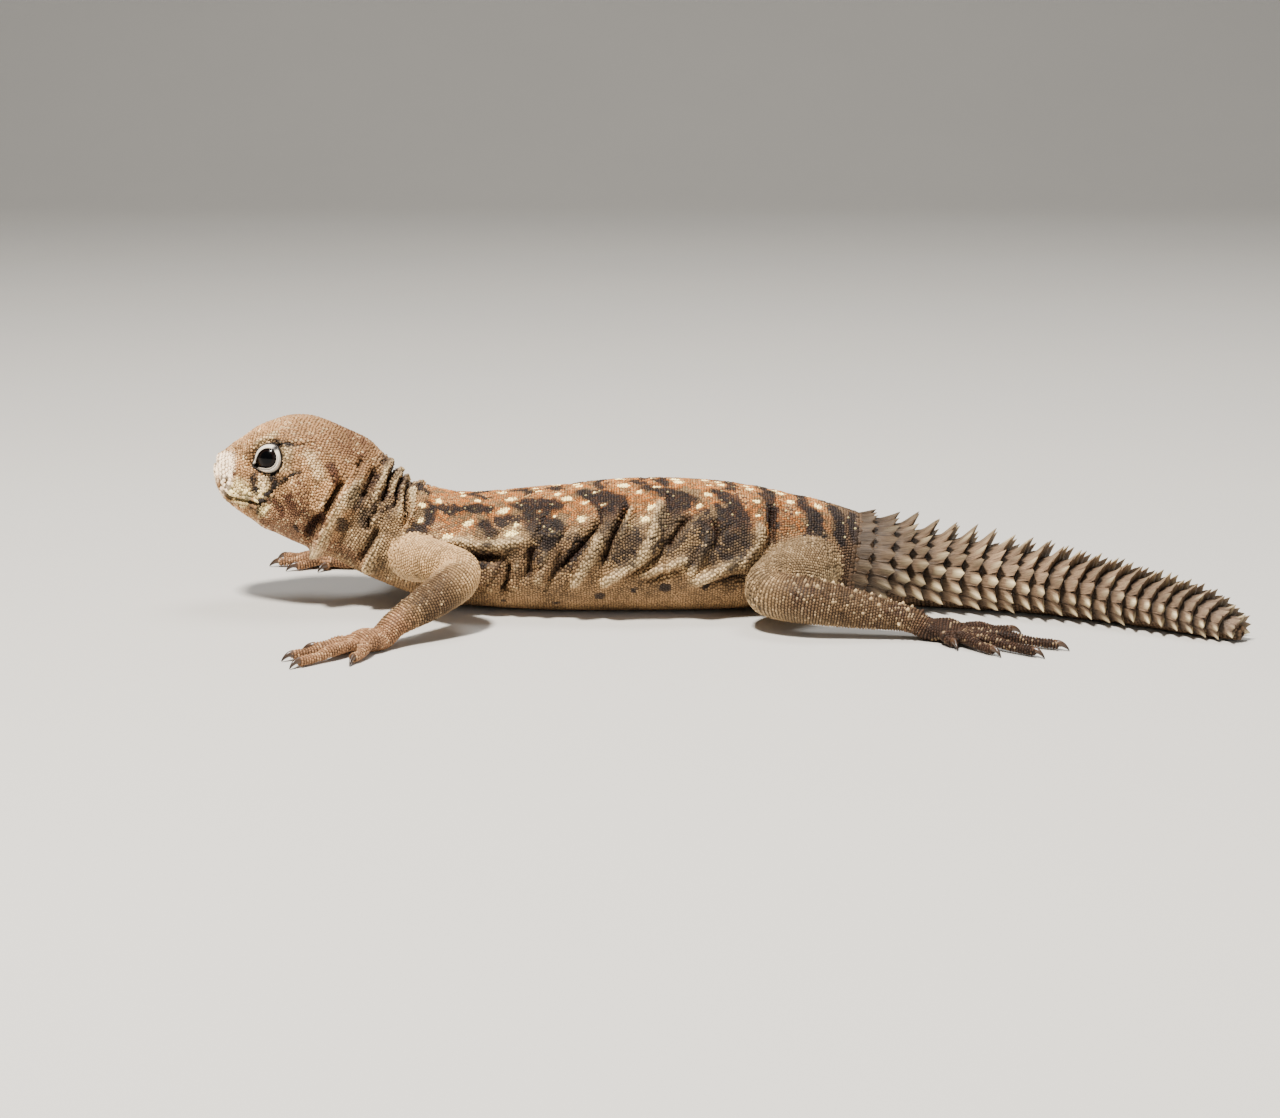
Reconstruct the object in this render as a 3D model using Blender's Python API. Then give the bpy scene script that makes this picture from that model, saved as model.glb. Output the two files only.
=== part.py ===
"""Uromastyx lizard, a still life-size model lying on its belly with its head raised.

Metres, +Z up. The head points to -X and the lizard's left side faces -Y. The origin is the middle
of the flat on which the belly rests, so the floor is the plane z = 0.
"""

import math

import bmesh
import bpy
import numpy as np
from mathutils import Matrix, Vector, noise
from mathutils.bvhtree import BVHTree

MM = 0.001
GAP = 0.3 * MM                 # space kept between two neighbouring solids
CUT_GAP = 0.42 * MM            # how far a cutter is grown, so that facets still keep the gap
FLOOR_REACH = 400 * MM
FLOOR_DEPTH = 20 * MM          # thickness of the block that trims the underside flat
WELD = 0.02 * MM

# Trunk stations from the snout to the tail tip: place of the spine, half width, height above and
# below the spine, all square to it, and how boxy the section is (2 is an ellipse).
TRUNK = (
    # name          x      y      z     half_w  up    down  boxy   (mm)
    ("snout_tip", -68.4, 0.0, 18.9, 1.5, 1.7, 1.7, 2.0),
    ("snout", -67.8, 0.0, 19.0, 2.9, 3.0, 2.8, 2.2),
    ("nose", -66.2, 0.0, 19.1, 4.3, 4.3, 4.6, 2.3),
    ("muzzle", -64.0, 0.0, 19.2, 5.5, 5.7, 6.1, 2.5),
    ("eye", -61.0, 0.0, 19.2, 6.7, 7.7, 7.8, 2.6),
    ("crown", -57.5, 0.0, 18.7, 8.0, 9.0, 8.3, 2.5),
    ("jaw_angle", -53.5, 0.0, 17.3, 8.3, 9.0, 8.7, 2.3),
    ("neck", -48.5, 0.0, 14.8, 7.3, 7.9, 8.5, 2.1),
    ("shoulder", -42.5, 0.0, 11.3, 8.6, 7.6, 8.1, 2.1),
    ("chest", -34.0, 0.0, 8.9, 10.5, 7.5, 8.4, 2.2),
    ("ribs", -21.0, 0.0, 8.4, 12.1, 8.7, 8.8, 2.3),
    ("belly", -7.0, 0.0, 8.6, 13.0, 9.7, 9.0, 2.3),
    ("loin", 6.0, 0.0, 8.3, 11.9, 9.4, 8.6, 2.3),
    ("pelvis", 17.0, 0.0, 7.7, 9.3, 7.9, 7.5, 2.2),
    ("tail_root", 25.5, -0.1, 6.6, 7.3, 6.4, 6.4, 2.2),
    ("tail_base", 35.0, -1.0, 5.3, 6.3, 4.9, 5.4, 2.2),
    ("tail_middle", 49.5, -5.2, 4.3, 5.4, 3.9, 4.4, 2.2),
    ("tail_rear", 62.0, -12.4, 3.6, 4.5, 3.2, 3.7, 2.1),
    ("tail_end", 71.6, -20.2, 2.8, 3.1, 2.4, 2.9, 2.0),
    ("tail_tip", 76.0, -24.6, 1.6, 0.7, 0.7, 1.5, 2.0),
)

# Where the trunk is parted, as places along it named by the spine's x.
HEAD_END_X = -50.6 * MM
NECK_END_X = -43.8 * MM
LEANING_GAP = GAP / 0.7        # the gap along x, where the sections lean back
TORSO_END_X = 23.4 * MM
WHORL_COUNT = 21               # rings of spiny scales on the tail
# Each length of tail: its first and last ring, and the points round it; every other one can carry a spine.
TAIL_LENGTHS = (("tail_front", 0, 7, 32), ("tail_middle", 7, 14, 28), ("tail_end", 14, 21, 24))
FIRST_WHORL_X = 25.2 * MM
TAIL_TIP_SHARE = 0.4           # share of the last station step that is bare tip behind the last ring
WHORL_SHORTENING = 0.42        # share of a ring's length lost from the tail's base to its tip
WHORL_RISE = 0.35 * MM         # how far a ring flares from its front edge to its rear edge
FLARE_SHRINK = 0.4             # share of that flare lost from the tail's base to its tip
STEP_SHARE = 0.14              # share of a ring's length taken by the step down behind it
GAP_SHARE = 0.13               # share of a ring left out where one length of tail parts from the next
SPINE_HEIGHT_TOP = 1.5 * MM
SPINE_HEIGHT_SIDE = 1.7 * MM
SPINE_SHRINK = 0.45            # share of a spine's size lost from the tail's base to its tip
SPINE_UNEVEN = 0.2             # share by which single spines are longer or shorter
SPINE_LEAN = 0.5               # how far a spine points back for its height
SPINE_SPREAD = math.radians(112)   # how far down each side the spines go from the top

# The line between the lips in the side view, from in front of the snout to the corner, (x, z) in mm.
MOUTH_LINE = ((-72.0, 19.2), (-69.2, 19.0), (-67.5, 18.2), (-66.1, 16.8),
              (-64.0, 16.1), (-61.7, 15.5), (-59.9, 16.6))
MOUTH_OPENING = 0.34
MOUTH_DEPTH = 0.6 * MM
MOUTH_REACH = 12 * MM
# Hollows of the head: name, place in the side view in mm, half sizes, and slant back from upright.
DIMPLES = (
    ("nostril", (-67.4, 19.9), Vector((0.42, 0.6, 0.36)) * MM, 0.5),
    ("ear", (-53.3, 16.2), Vector((0.6, 1.1, 1.6)) * MM, 0.45),
)
HEAD_ROWS = 20
HEAD_CROWDING = 1.12           # above 1 the rows of the head lie closer towards the snout
HEAD_SIDE = 20 * MM            # well outside the head, where a search for its side starts

EYE_CENTRE = Vector((-59.5, 4.6, 22.4)) * MM    # of the right eye; the left one mirrors it
EYE_RADIUS = 2.45 * MM
EYE_TILT = Vector((-0.30, 1.0, 0.18))            # the way the right eye looks
EYE_SLANT = Vector((-0.94, 0, -0.20))            # along the slit of the right eye, towards the snout
LID_THICK = 0.45 * MM
LID_SEAT = 0.55                # height of the lids' middle line over the eyeball, in thicknesses
LID_SWELL = (0.8, 0.35)        # share of that thickness at the corners, and what the middle adds to it
LID_HALF_LENGTH = 2.45 * MM
LID_HALF_HEIGHT = 1.75 * MM
LID_LEAST_DEPTH = 0.8 * MM     # how far in front of the eye's centre the corners of the lids lie
LID_STEPS = 16
OPENING_SHARE = 0.93           # size of the gap between the lids, against the line of the lids
OPENING_DEPTH = 2.0 * MM

SKIN = ("uromastyx_skin", (0.42, 0.33, 0.25), 0.75)
BACK = ("uromastyx_back", (0.36, 0.23, 0.15), 0.75)
SPINE = ("uromastyx_tail_scale", (0.45, 0.37, 0.29), 0.6)
EYE = ("uromastyx_eye", (0.03, 0.02, 0.015), 0.1)


def clear_scene():
    for thing in list(bpy.data.objects):
        bpy.data.objects.remove(thing)


def collection(name):
    made = bpy.data.collections.new(name)
    bpy.context.scene.collection.children.link(made)
    return made


def material(name, colour, roughness):
    made = bpy.data.materials.get(name) or bpy.data.materials.new(name)
    made.use_nodes = True
    shader = made.node_tree.nodes["Principled BSDF"]
    shader.inputs["Base Color"].default_value = (*colour, 1)
    shader.inputs["Roughness"].default_value = roughness
    shader.inputs["Metallic"].default_value = 0
    return made


def smooth_row(rows, t):
    """Catmull-Rom through evenly counted rows of numbers; t runs from 0 to len(rows) - 1."""
    last = len(rows) - 1
    t = min(max(t, 0), last)
    i = min(int(t), last - 1)
    f = t - i
    p1, p2 = rows[i], rows[i + 1]
    p0 = rows[i - 1] if i > 0 else 2 * p1 - p2
    p3 = rows[i + 2] if i + 2 <= last else 2 * p2 - p1
    return 0.5 * (2 * p1 + (p2 - p0) * f + (2 * p0 - 5 * p1 + 4 * p2 - p3) * f * f
                  + (3 * p1 - p0 - 3 * p2 + p3) * f ** 3)


class Loft:
    """A tube of changing section along a smooth line of stations (x, y, z, half width, up, down, boxy)."""

    def __init__(self, stations, up=(0, 0, 1)):
        scale = np.array([MM] * 6 + [1])
        self.rows = [np.array(row, float) * scale for row in stations]
        self.up = Vector(up)

    def last(self):
        return len(self.rows) - 1

    def frame(self, t):
        """Centre, direction, side and up of the section at t, with its sizes."""
        row = smooth_row(self.rows, t)
        step = 0.02
        ahead = smooth_row(self.rows, min(t + step, self.last()))
        behind = smooth_row(self.rows, max(t - step, 0))
        along = Vector(ahead[:3] - behind[:3]).normalized()
        side = along.cross(self.up).normalized()
        return Vector(row[:3]), along, side, side.cross(along).normalized(), row[3:]

    def point(self, t, angle, grow=0.0, relief=None):
        """A surface point; angle 0 is the top and a positive angle goes to the +Y side on the trunk."""
        centre, _, side, up, (half, above, below, boxy) = self.frame(t)
        c, s = math.cos(angle), math.sin(angle)
        power = 2 / boxy
        tall = above if c > 0 else below
        across = math.copysign(abs(s) ** power, s) * half
        height = math.copysign(abs(c) ** power, c) * tall
        spot = centre - side * across + up * height
        out = (up * height / tall ** 2 - side * across / half ** 2).normalized()
        if relief:
            grow += relief(spot, out)
        return spot + out * grow

    def find_x(self, x):
        """The t at which the line passes this x."""
        low, high = 0.0, float(self.last())
        for _ in range(40):
            middle = (low + high) / 2
            if self.frame(middle)[0].x < x:
                low = middle
            else:
                high = middle
        return low


def skin_rows(rows):
    """A closed bmesh over rows of points, each row a ring with the same count, and a fan over each end."""
    mesh = bmesh.new()
    rings = [[mesh.verts.new(spot) for spot in row] for row in rows]
    around = len(rings[0])
    for a, b in zip(rings, rings[1:]):
        for k in range(around):
            n = (k + 1) % around
            mesh.faces.new((a[k], a[n], b[n], b[k]))
    for ring in (rings[0], rings[-1]):
        middle = mesh.verts.new(sum((v.co for v in ring), Vector()) / around)
        for k in range(around):
            mesh.faces.new((ring[k], ring[(k + 1) % around], middle))
    bmesh.ops.recalc_face_normals(mesh, faces=mesh.faces)
    return mesh


def loft_mesh(loft, places, around, grow=0.0, relief=None):
    """A closed bmesh over the sections at places."""
    return skin_rows([[loft.point(t, 2 * math.pi * k / around, grow, relief) for k in range(around)]
                      for t in places])


def as_object(mesh, name, into, finish):
    data = bpy.data.meshes.new(name)
    mesh.to_mesh(data)
    mesh.free()
    data.materials.append(material(*finish))
    data.shade_smooth()
    made = bpy.data.objects.new(name, data)
    into.objects.link(made)
    return made


def apply_modifiers(thing):
    graph = bpy.context.evaluated_depsgraph_get()
    made = bpy.data.meshes.new_from_object(thing.evaluated_get(graph))
    thing.modifiers.clear()
    thing.data = made


def keep_largest(thing):
    """Leaves only the largest closed surface of a mesh: faces that share edges belong together."""
    mesh = bmesh.new()
    mesh.from_mesh(thing.data)
    left = set(mesh.faces)
    islands = []
    while left:
        seed = left.pop()
        island, front = [seed], [seed]
        while front:
            for edge in front.pop().edges:
                for other in edge.link_faces:
                    if other in left:
                        left.discard(other)
                        island.append(other)
                        front.append(other)
        islands.append(island)
    islands.sort(key=len)
    loose = [face for island in islands[:-1] for face in island]
    bmesh.ops.delete(mesh, geom=loose, context="FACES")
    mesh.to_mesh(thing.data)
    mesh.free()


def boolean(thing, operation, others, solver="MANIFOLD"):
    """Joins others to thing, or cuts them from it, and removes them where they are joined."""
    group = bpy.data.collections.new(thing.name + "_tools")
    bpy.context.scene.collection.children.link(group)
    for other in others:
        for home in list(other.users_collection):
            home.objects.unlink(other)
        group.objects.link(other)
    modifier = thing.modifiers.new("join", "BOOLEAN")
    modifier.operation = operation
    modifier.operand_type = "COLLECTION"
    modifier.collection = group
    modifier.solver = solver
    bpy.context.view_layer.update()
    apply_modifiers(thing)
    for other in others:
        bpy.data.objects.remove(other)
    bpy.data.collections.remove(group)
    keep_largest(thing)


def floor_block(into):
    """A block whose top is the floor plane; it trims a solid's underside to a flat."""
    mesh = bmesh.new()
    bmesh.ops.create_cube(mesh, size=1)
    bmesh.ops.scale(mesh, vec=(FLOOR_REACH, FLOOR_REACH, FLOOR_DEPTH), verts=mesh.verts)
    bmesh.ops.translate(mesh, vec=(0, 0, -FLOOR_DEPTH / 2), verts=mesh.verts)
    return as_object(mesh, "floor_block", into, SKIN)


def trim_to_floor(thing, into):
    boolean(thing, "DIFFERENCE", [floor_block(into)])


def distance_to_path(x, z, path):
    """Distance in the side view from (x, z) to a line of points, and the place along it, 0 to 1."""
    best, where = 1e9, 0.0
    steps = len(path) - 1
    for i in range(steps):
        ax, az = path[i]
        bx, bz = path[i + 1]
        dx, dz = bx - ax, bz - az
        f = min(max(((x - ax) * dx + (z - az) * dz) / (dx * dx + dz * dz), 0), 1)
        gap = math.hypot(x - ax - f * dx, z - az - f * dz)
        if gap < best:
            best, where = gap, (i + f) / steps
    return best, where


# Ridges and hollows of the skin, drawn in the side view (x, z in mm): path, half width, height.
RELIEF = (
    ("orbit", ((-64.2, 20.8), (-60.6, 21.2)), 2.8, 0.75),
    ("brow", ((-65.2, 23.3), (-63.2, 24.4), (-61.0, 24.2), (-58.9, 22.8)), 1.2, 0.9),
    ("upper_lip", ((-68.3, 19.0), (-66.3, 16.9), (-63.8, 15.7), (-61.8, 16.3)), 0.8, 0.3),
    ("cheek", ((-58.4, 15.6), (-56.0, 14.4)), 2.6, 0.7),
    ("throat_fold", ((-48.4, 21.4), (-49.9, 18.4), (-51.9, 14.2), (-53.8, 10.6), (-54.9, 8.4)), 1.15, 1.5),
    ("behind_fold", ((-46.6, 20.4), (-48.4, 15.6), (-50.9, 10.6), (-52.0, 8.0)), 1.0, -0.7),
    ("behind_jaw", ((-52.2, 17.4), (-53.6, 14.4), (-54.9, 11.3)), 0.9, -0.9),
    ("nape_fold", ((-45.0, 19.6), (-46.8, 14.0), (-48.8, 8.0)), 1.0, 0.6),
    ("shoulder_fold", ((-42.6, 18.2), (-44.2, 12.0), (-45.8, 6.2)), 1.0, 0.7),
    ("arm_fold", ((-40.4, 16.4), (-41.8, 11.0), (-43.6, 5.6)), 1.0, 0.5),
    ("side_fold", ((-42.6, 8.4), (-36.5, 8.4), (-31.0, 7.9), (-24.0, 6.9)), 1.2, 0.75),
    ("flank_fold_1", ((-23.9, 8.6), (-25.4, 5.0), (-26.6, 2.2)), 1.1, 0.65),
    ("flank_fold_2", ((-14.1, 10.7), (-16.4, 6.7), (-18.4, 2.9), (-20.0, 1.4)), 1.1, 0.7),
    ("flank_fold_3", ((-5.7, 15.3), (-5.6, 12.2), (-6.9, 8.3), (-9.1, 6.0), (-14.8, 2.4)), 1.15, 0.95),
    ("flank_fold_4", ((-0.1, 9.9), (-0.7, 6.7), (-2.3, 3.7)), 1.0, 0.7),
    ("flank_fold_5", ((8.6, 10.7), (7.3, 8.3), (4.6, 6.7), (0.4, 5.1)), 1.1, 0.8),
)


def skin_relief(spot, out):
    """How far the folds lift the skin at a spot of the trunk, by its place in the side view."""
    facing = min(max((abs(out.y) - 0.15) / 0.5, 0), 1)
    if facing == 0:
        return 0.0
    rise = 0.0
    for _, path, half, height in RELIEF:
        gap, where = distance_to_path(spot.x / MM, spot.z / MM, path)
        fade = math.sin(math.pi * (0.12 + 0.76 * where))
        rise += height * math.exp(-(gap / half) ** 2) * fade
    return rise * facing * MM


def places_between(loft, start_x, end_x, count):
    a, b = loft.find_x(start_x), loft.find_x(end_x)
    return [a + (b - a) * i / count for i in range(count + 1)]


def tube(name, points, radii, into, sides=8):
    """A closed tapering tube: a curve with a bevel, turned into a mesh."""
    data = bpy.data.curves.new(name, "CURVE")
    data.dimensions = "3D"
    data.bevel_depth = 1
    data.bevel_resolution = (sides - 4) // 2
    data.use_fill_caps = True
    line = data.splines.new("POLY")
    line.points.add(len(points) - 1)
    for spot, place, radius in zip(line.points, points, radii):
        spot.co = (*place, 1)
        spot.radius = radius
    curve = bpy.data.objects.new(name, data)
    into.objects.link(curve)
    graph = bpy.context.evaluated_depsgraph_get()
    solid = bpy.data.meshes.new_from_object(curve.evaluated_get(graph))
    bpy.data.objects.remove(curve)
    mesh = bmesh.new()
    mesh.from_mesh(solid)
    bmesh.ops.remove_doubles(mesh, verts=mesh.verts, dist=WELD)
    bmesh.ops.recalc_face_normals(mesh, faces=mesh.faces)
    return as_object(mesh, name, into, SKIN)


def ball(name, centre, size, turn, into, finish=SKIN, segments=12, rings=8):
    """A sphere stretched to size along its own axes, then turned and placed."""
    mesh = bmesh.new()
    bmesh.ops.create_uvsphere(mesh, u_segments=segments, v_segments=rings, radius=1)
    place = Matrix.Translation(centre) @ turn.to_4x4() @ Matrix.Diagonal((*size, 1))
    mesh.transform(place)
    return as_object(mesh, name, into, finish)


def trunk_cutter(loft, into):
    """The whole trunk, grown by the gap: what a leg's root is cut with."""
    places = places_between(loft, NECK_END_X - 2 * MM, TORSO_END_X + 4 * MM, 44)
    mesh = loft_mesh(loft, places, 36, grow=CUT_GAP, relief=skin_relief)
    return as_object(mesh, "trunk_cutter", into, SKIN)


def mouth_slit(loft, into):
    """The gap between the lips: a thin curved sheet across the head, as deep as the slit."""
    line = [np.array(spot) for spot in MOUTH_LINE]
    steps = 3 * (len(line) - 1)
    middle = [smooth_row(line, i * (len(line) - 1) / steps) for i in range(steps + 1)]
    outline = [(x, z + MOUTH_OPENING / 2) for x, z in middle]
    outline += [(x, z - MOUTH_OPENING / 2) for x, z in reversed(middle)]
    mesh = bmesh.new()
    face = mesh.faces.new([mesh.verts.new((x * MM, -MOUTH_REACH, z * MM)) for x, z in outline])
    moved = bmesh.ops.extrude_face_region(mesh, geom=[face])["geom"]
    far_side = [v for v in moved if isinstance(v, bmesh.types.BMVert)]
    bmesh.ops.translate(mesh, vec=(0, 2 * MOUTH_REACH, 0), verts=far_side)
    bmesh.ops.recalc_face_normals(mesh, faces=mesh.faces)
    slit = as_object(mesh, "mouth_slit", into, SKIN)
    places = [loft.find_x(HEAD_END_X) * i / 14 for i in range(15)]
    core = as_object(loft_mesh(loft, places, 40, grow=-MOUTH_DEPTH), "mouth_core", into, SKIN)
    boolean(slit, "DIFFERENCE", [core])
    return slit


def eye_frame(sign):
    """Turn of an eye: local z looks out and local y points up. sign is 1 for the right eye."""
    out = Vector((EYE_TILT.x, sign * EYE_TILT.y, EYE_TILT.z)).normalized()
    slant = EYE_SLANT * sign
    across = (slant - out * slant.dot(out)).normalized()
    return Matrix((across, out.cross(across), out)).transposed()


def lids(name, centre, turn, into):
    """The rim of the two eyelids: a pointed oval ring lying on the eyeball."""
    points, radii = [], []
    for i in range(LID_STEPS + 1):
        angle = 2 * math.pi * i / LID_STEPS
        x = LID_HALF_LENGTH * math.cos(angle)
        y = LID_HALF_HEIGHT * math.sin(angle)
        reach = EYE_RADIUS + GAP + LID_SEAT * LID_THICK
        depth = math.sqrt(max(reach ** 2 - x * x - y * y, LID_LEAST_DEPTH ** 2))
        points.append(centre + turn @ Vector((x, y, depth)))
        radii.append(LID_THICK * (LID_SWELL[0] + LID_SWELL[1] * abs(math.sin(angle))))
    half = LID_STEPS // 2
    upper = tube(name + "_upper", points[:half + 1], radii[:half + 1], into, sides=6)
    lower = tube(name + "_lower", points[half:], radii[half:], into, sides=6)
    return [upper, lower]


def dimple(name, surface, place, size, slant, sign, into):
    """A small ball centred where the head's side lies at a place of the side view."""
    start = Vector((place[0] * MM, sign * HEAD_SIDE, place[1] * MM))
    hit = surface.ray_cast(start, Vector((0, -sign, 0)))[0]
    return ball(name, hit, size, Matrix.Rotation(slant, 3, "Y"), into, SKIN, 10, 8)


def make_head(loft, parts, tools):
    """Head with brow, lips, mouth line, nostrils, ear cups and eyelids, and the two eyeballs."""
    end = loft.find_x(HEAD_END_X)
    places = [end * (i / HEAD_ROWS) ** HEAD_CROWDING for i in range(HEAD_ROWS + 1)]
    head = as_object(loft_mesh(loft, places, 40, relief=skin_relief), "head", parts, SKIN)
    surface = BVHTree.FromPolygons([v.co for v in head.data.vertices],
                                   [p.vertices for p in head.data.polygons])
    cutters = [mouth_slit(loft, tools)]
    lid_rims = []
    for sign, side in ((1, "right"), (-1, "left")):
        centre = Vector((EYE_CENTRE.x, sign * EYE_CENTRE.y, EYE_CENTRE.z))
        turn = eye_frame(sign)
        lid_rims += lids("lid_" + side, centre, turn, tools)
        ball("eye_" + side, centre, [EYE_RADIUS] * 3, turn, parts, EYE, 20, 12)
        cutters.append(ball("socket_" + side, centre, [EYE_RADIUS + GAP] * 3, turn, tools, SKIN, 20, 12))
        front = centre + turn @ Vector((0, 0, EYE_RADIUS + OPENING_DEPTH / 2))
        opening = [LID_HALF_LENGTH * OPENING_SHARE, LID_HALF_HEIGHT * OPENING_SHARE, OPENING_DEPTH]
        cutters.append(ball("opening_" + side, front, opening, turn, tools, SKIN, 16, 8))
        for name, place, size, slant in DIMPLES:
            cutters.append(dimple(f"{name}_{side}", surface, place, size, slant, sign, tools))
    boolean(head, "UNION", lid_rims)
    boolean(head, "DIFFERENCE", cutters)


def make_neck(loft, parts):
    places = places_between(loft, HEAD_END_X, NECK_END_X, 8)
    places[0] = loft.find_x(HEAD_END_X + LEANING_GAP)
    as_object(loft_mesh(loft, places, 36, relief=skin_relief), "neck", parts, SKIN)


def make_torso(loft, parts, tools):
    places = places_between(loft, NECK_END_X, TORSO_END_X, 40)
    places[0] = loft.find_x(NECK_END_X + LEANING_GAP)
    torso = as_object(loft_mesh(loft, places, 36, relief=skin_relief), "torso", parts, BACK)
    trim_to_floor(torso, tools)


def whorl_starts(loft):
    """Places of the front edge of every ring, and of the end of the last: they get shorter to the tip."""
    first = loft.find_x(FIRST_WHORL_X)
    end = loft.last() - TAIL_TIP_SHARE
    shares = [1 - WHORL_SHORTENING * i / WHORL_COUNT for i in range(WHORL_COUNT)]
    lengths = []
    steps = 20 * WHORL_COUNT
    for i in range(steps):
        a = loft.frame(first + (end - first) * i / steps)[0]
        b = loft.frame(first + (end - first) * (i + 1) / steps)[0]
        lengths.append((b - a).length)
    total = sum(lengths)
    starts, passed, at = [first], 0.0, 0
    for share in shares:
        goal = total * sum(shares[:len(starts)]) / sum(shares)
        while passed < goal and at < steps:
            passed += lengths[at]
            at += 1
        starts.append(first + (end - first) * at / steps)
    return starts


def spine_height(angle, i, k):
    """How far the spine at this angle of ring i stands out: most at the sides, none underneath."""
    if abs(angle) > SPINE_SPREAD:
        return 0.0
    sideways = abs(math.sin(angle))
    height = SPINE_HEIGHT_TOP + (SPINE_HEIGHT_SIDE - SPINE_HEIGHT_TOP) * sideways
    size = 1 - SPINE_SHRINK * i / WHORL_COUNT
    return height * size * (1 + SPINE_UNEVEN * noise.noise(Vector((i * 1.7, k * 2.3, 0.5))))


def plain_row(loft, t, around):
    return [loft.point(t, 2 * math.pi * k / around) for k in range(around)]


def whorl_rows(loft, i, start, end, around):
    """One ring of tail scales: low front edge, flared rear edge with its spine points, step down."""
    flare = WHORL_RISE * (1 - FLARE_SHRINK * i / WHORL_COUNT)
    front, rear, step = [], [], []
    crest = end - STEP_SHARE * (end - start)
    along = loft.frame(crest)[1]
    for k in range(around):
        angle = 2 * math.pi * k / around
        signed = angle if angle <= math.pi else angle - 2 * math.pi
        front.append(loft.point(start, angle))
        edge = loft.point(crest, angle, flare)
        step.append(loft.point(end, angle))
        height = spine_height(signed, i, k) if k % 2 == 0 else 0.0
        if height:
            out = edge - loft.frame(crest)[0]
            out = (out - along * out.dot(along)).normalized()
            edge = edge + out * height + along * SPINE_LEAN * height
        rear.append(edge)
    return [front, rear, step]


def make_tail(loft, parts, tools):
    """Three lengths of tail, each a row of flared rings whose rear edges carry the spines."""
    starts = whorl_starts(loft)
    tail_start = loft.find_x(TORSO_END_X + GAP)
    for name, first, last, around in TAIL_LENGTHS:
        rows = [plain_row(loft, tail_start, around)] if first == 0 else []
        for i in range(first, last):
            # A length starts behind the one before it, and each ring shares the row of the last step.
            a = starts[i] + (GAP_SHARE * (starts[i + 1] - starts[i]) if first and i == first else 0)
            ring = whorl_rows(loft, i, a, starts[i + 1], around)
            rows += ring if i == first else ring[1:]
        if last == WHORL_COUNT:
            for share in (0.5, 1.0):
                t = starts[-1] + (loft.last() - starts[-1]) * share
                rows.append(plain_row(loft, t, around))
        core = as_object(skin_rows(rows), name, parts, SPINE)
        trim_to_floor(core, tools)


# Legs, as stations (x, y, z, half width, up, down, boxy) in mm from inside the trunk to the wrist or
# ankle. The bend at the elbow or knee is where the limb is parted.
LIMBS = (
    ("upper_arm_left", ((-41.0, -3.0, 9.0, 3.4, 3.8, 3.8, 2), (-39.6, -8.4, 8.8, 3.4, 3.6, 3.6, 2),
                        (-36.2, -12.8, 9.0, 3.0, 3.2, 3.2, 2), (-32.8, -15.8, 8.6, 2.9, 3.0, 3.0, 2))),
    ("forearm_left", ((-31.9, -17.2, 8.2, 2.7, 2.9, 2.9, 2), (-33.0, -19.6, 7.2, 3.1, 3.0, 3.0, 2),
                      (-36.4, -22.8, 5.2, 2.7, 2.5, 2.6, 2), (-40.4, -26.0, 3.2, 2.15, 1.8, 1.9, 2))),
    ("upper_arm_right", ((-41.0, 3.0, 9.0, 3.4, 3.8, 3.8, 2), (-40.4, 8.4, 8.7, 3.4, 3.6, 3.6, 2),
                         (-39.4, 13.0, 8.8, 3.0, 3.2, 3.2, 2), (-38.6, 16.8, 8.4, 2.9, 3.0, 3.0, 2))),
    ("forearm_right", ((-38.7, 18.3, 8.0, 2.7, 2.9, 2.9, 2), (-40.8, 19.9, 7.0, 3.1, 3.0, 3.0, 2),
                       (-44.8, 21.6, 5.1, 2.7, 2.5, 2.6, 2), (-49.3, 23.4, 3.2, 2.15, 1.8, 1.9, 2))),
    ("thigh_left", ((20.5, -2.5, 7.4, 3.9, 4.4, 4.2, 2), (17.0, -8.4, 7.3, 4.4, 4.6, 4.4, 2),
                    (13.4, -12.8, 6.8, 4.1, 4.2, 4.2, 2), (11.2, -16.0, 6.0, 3.6, 3.7, 3.7, 2))),
    ("shank_left", ((11.6, -18.4, 5.4, 3.2, 3.3, 3.3, 2), (16.0, -20.2, 5.0, 3.5, 3.4, 3.3, 2),
                    (23.0, -21.0, 3.9, 2.9, 2.7, 2.7, 2), (30.0, -21.8, 2.8, 2.15, 1.8, 1.9, 2))),
    ("thigh_right", ((20.5, 2.5, 7.4, 3.9, 4.4, 4.2, 2), (17.4, 8.4, 7.3, 4.4, 4.6, 4.4, 2),
                     (14.6, 13.0, 6.8, 4.1, 4.2, 4.2, 2), (12.6, 16.4, 6.0, 3.6, 3.7, 3.7, 2))),
    ("shank_right", ((13.0, 18.8, 5.4, 3.2, 3.3, 3.3, 2), (17.0, 20.8, 5.0, 3.5, 3.4, 3.3, 2),
                     (23.4, 22.6, 3.9, 2.9, 2.7, 2.7, 2), (29.6, 24.8, 2.8, 2.15, 1.8, 1.9, 2))),
)

# Hands and feet: the middle of the palm and the tip of each claw on the floor, (x, y) in mm.
PAWS = (
    ("hand_left", (-43.6, -28.8), ((-48.6, -26.4), (-53.0, -30.4), (-55.0, -35.4), (-53.4, -39.6),
                                   (-45.6, -38.0))),
    ("hand_right", (-53.2, 25.0), ((-56.6, 20.8), (-61.6, 21.6), (-64.6, 25.2), (-64.0, 30.2),
                                   (-57.0, 33.4))),
    ("foot_left", (34.6, -22.8), ((36.2, -29.4), (41.6, -33.2), (47.4, -33.8), (51.4, -29.4),
                                  (46.2, -19.6))),
    ("foot_right", (33.8, 26.4), ((34.4, 33.0), (39.6, 37.4), (45.4, 38.4), (49.8, 34.6),
                                  (45.2, 24.4))),
)
PALM_SIZE = Vector((3.5, 2.9, 1.8)) * MM
PALM_HEIGHT = 1.45 * MM        # of the palm's middle over the floor
DIGIT_RADIUS = 0.88 * MM
DIGIT_TAPER = 0.12             # share of a digit's radius lost from root to end
DIGIT_BOW = 0.25 * MM          # how far the outer digits bow sideways
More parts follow.
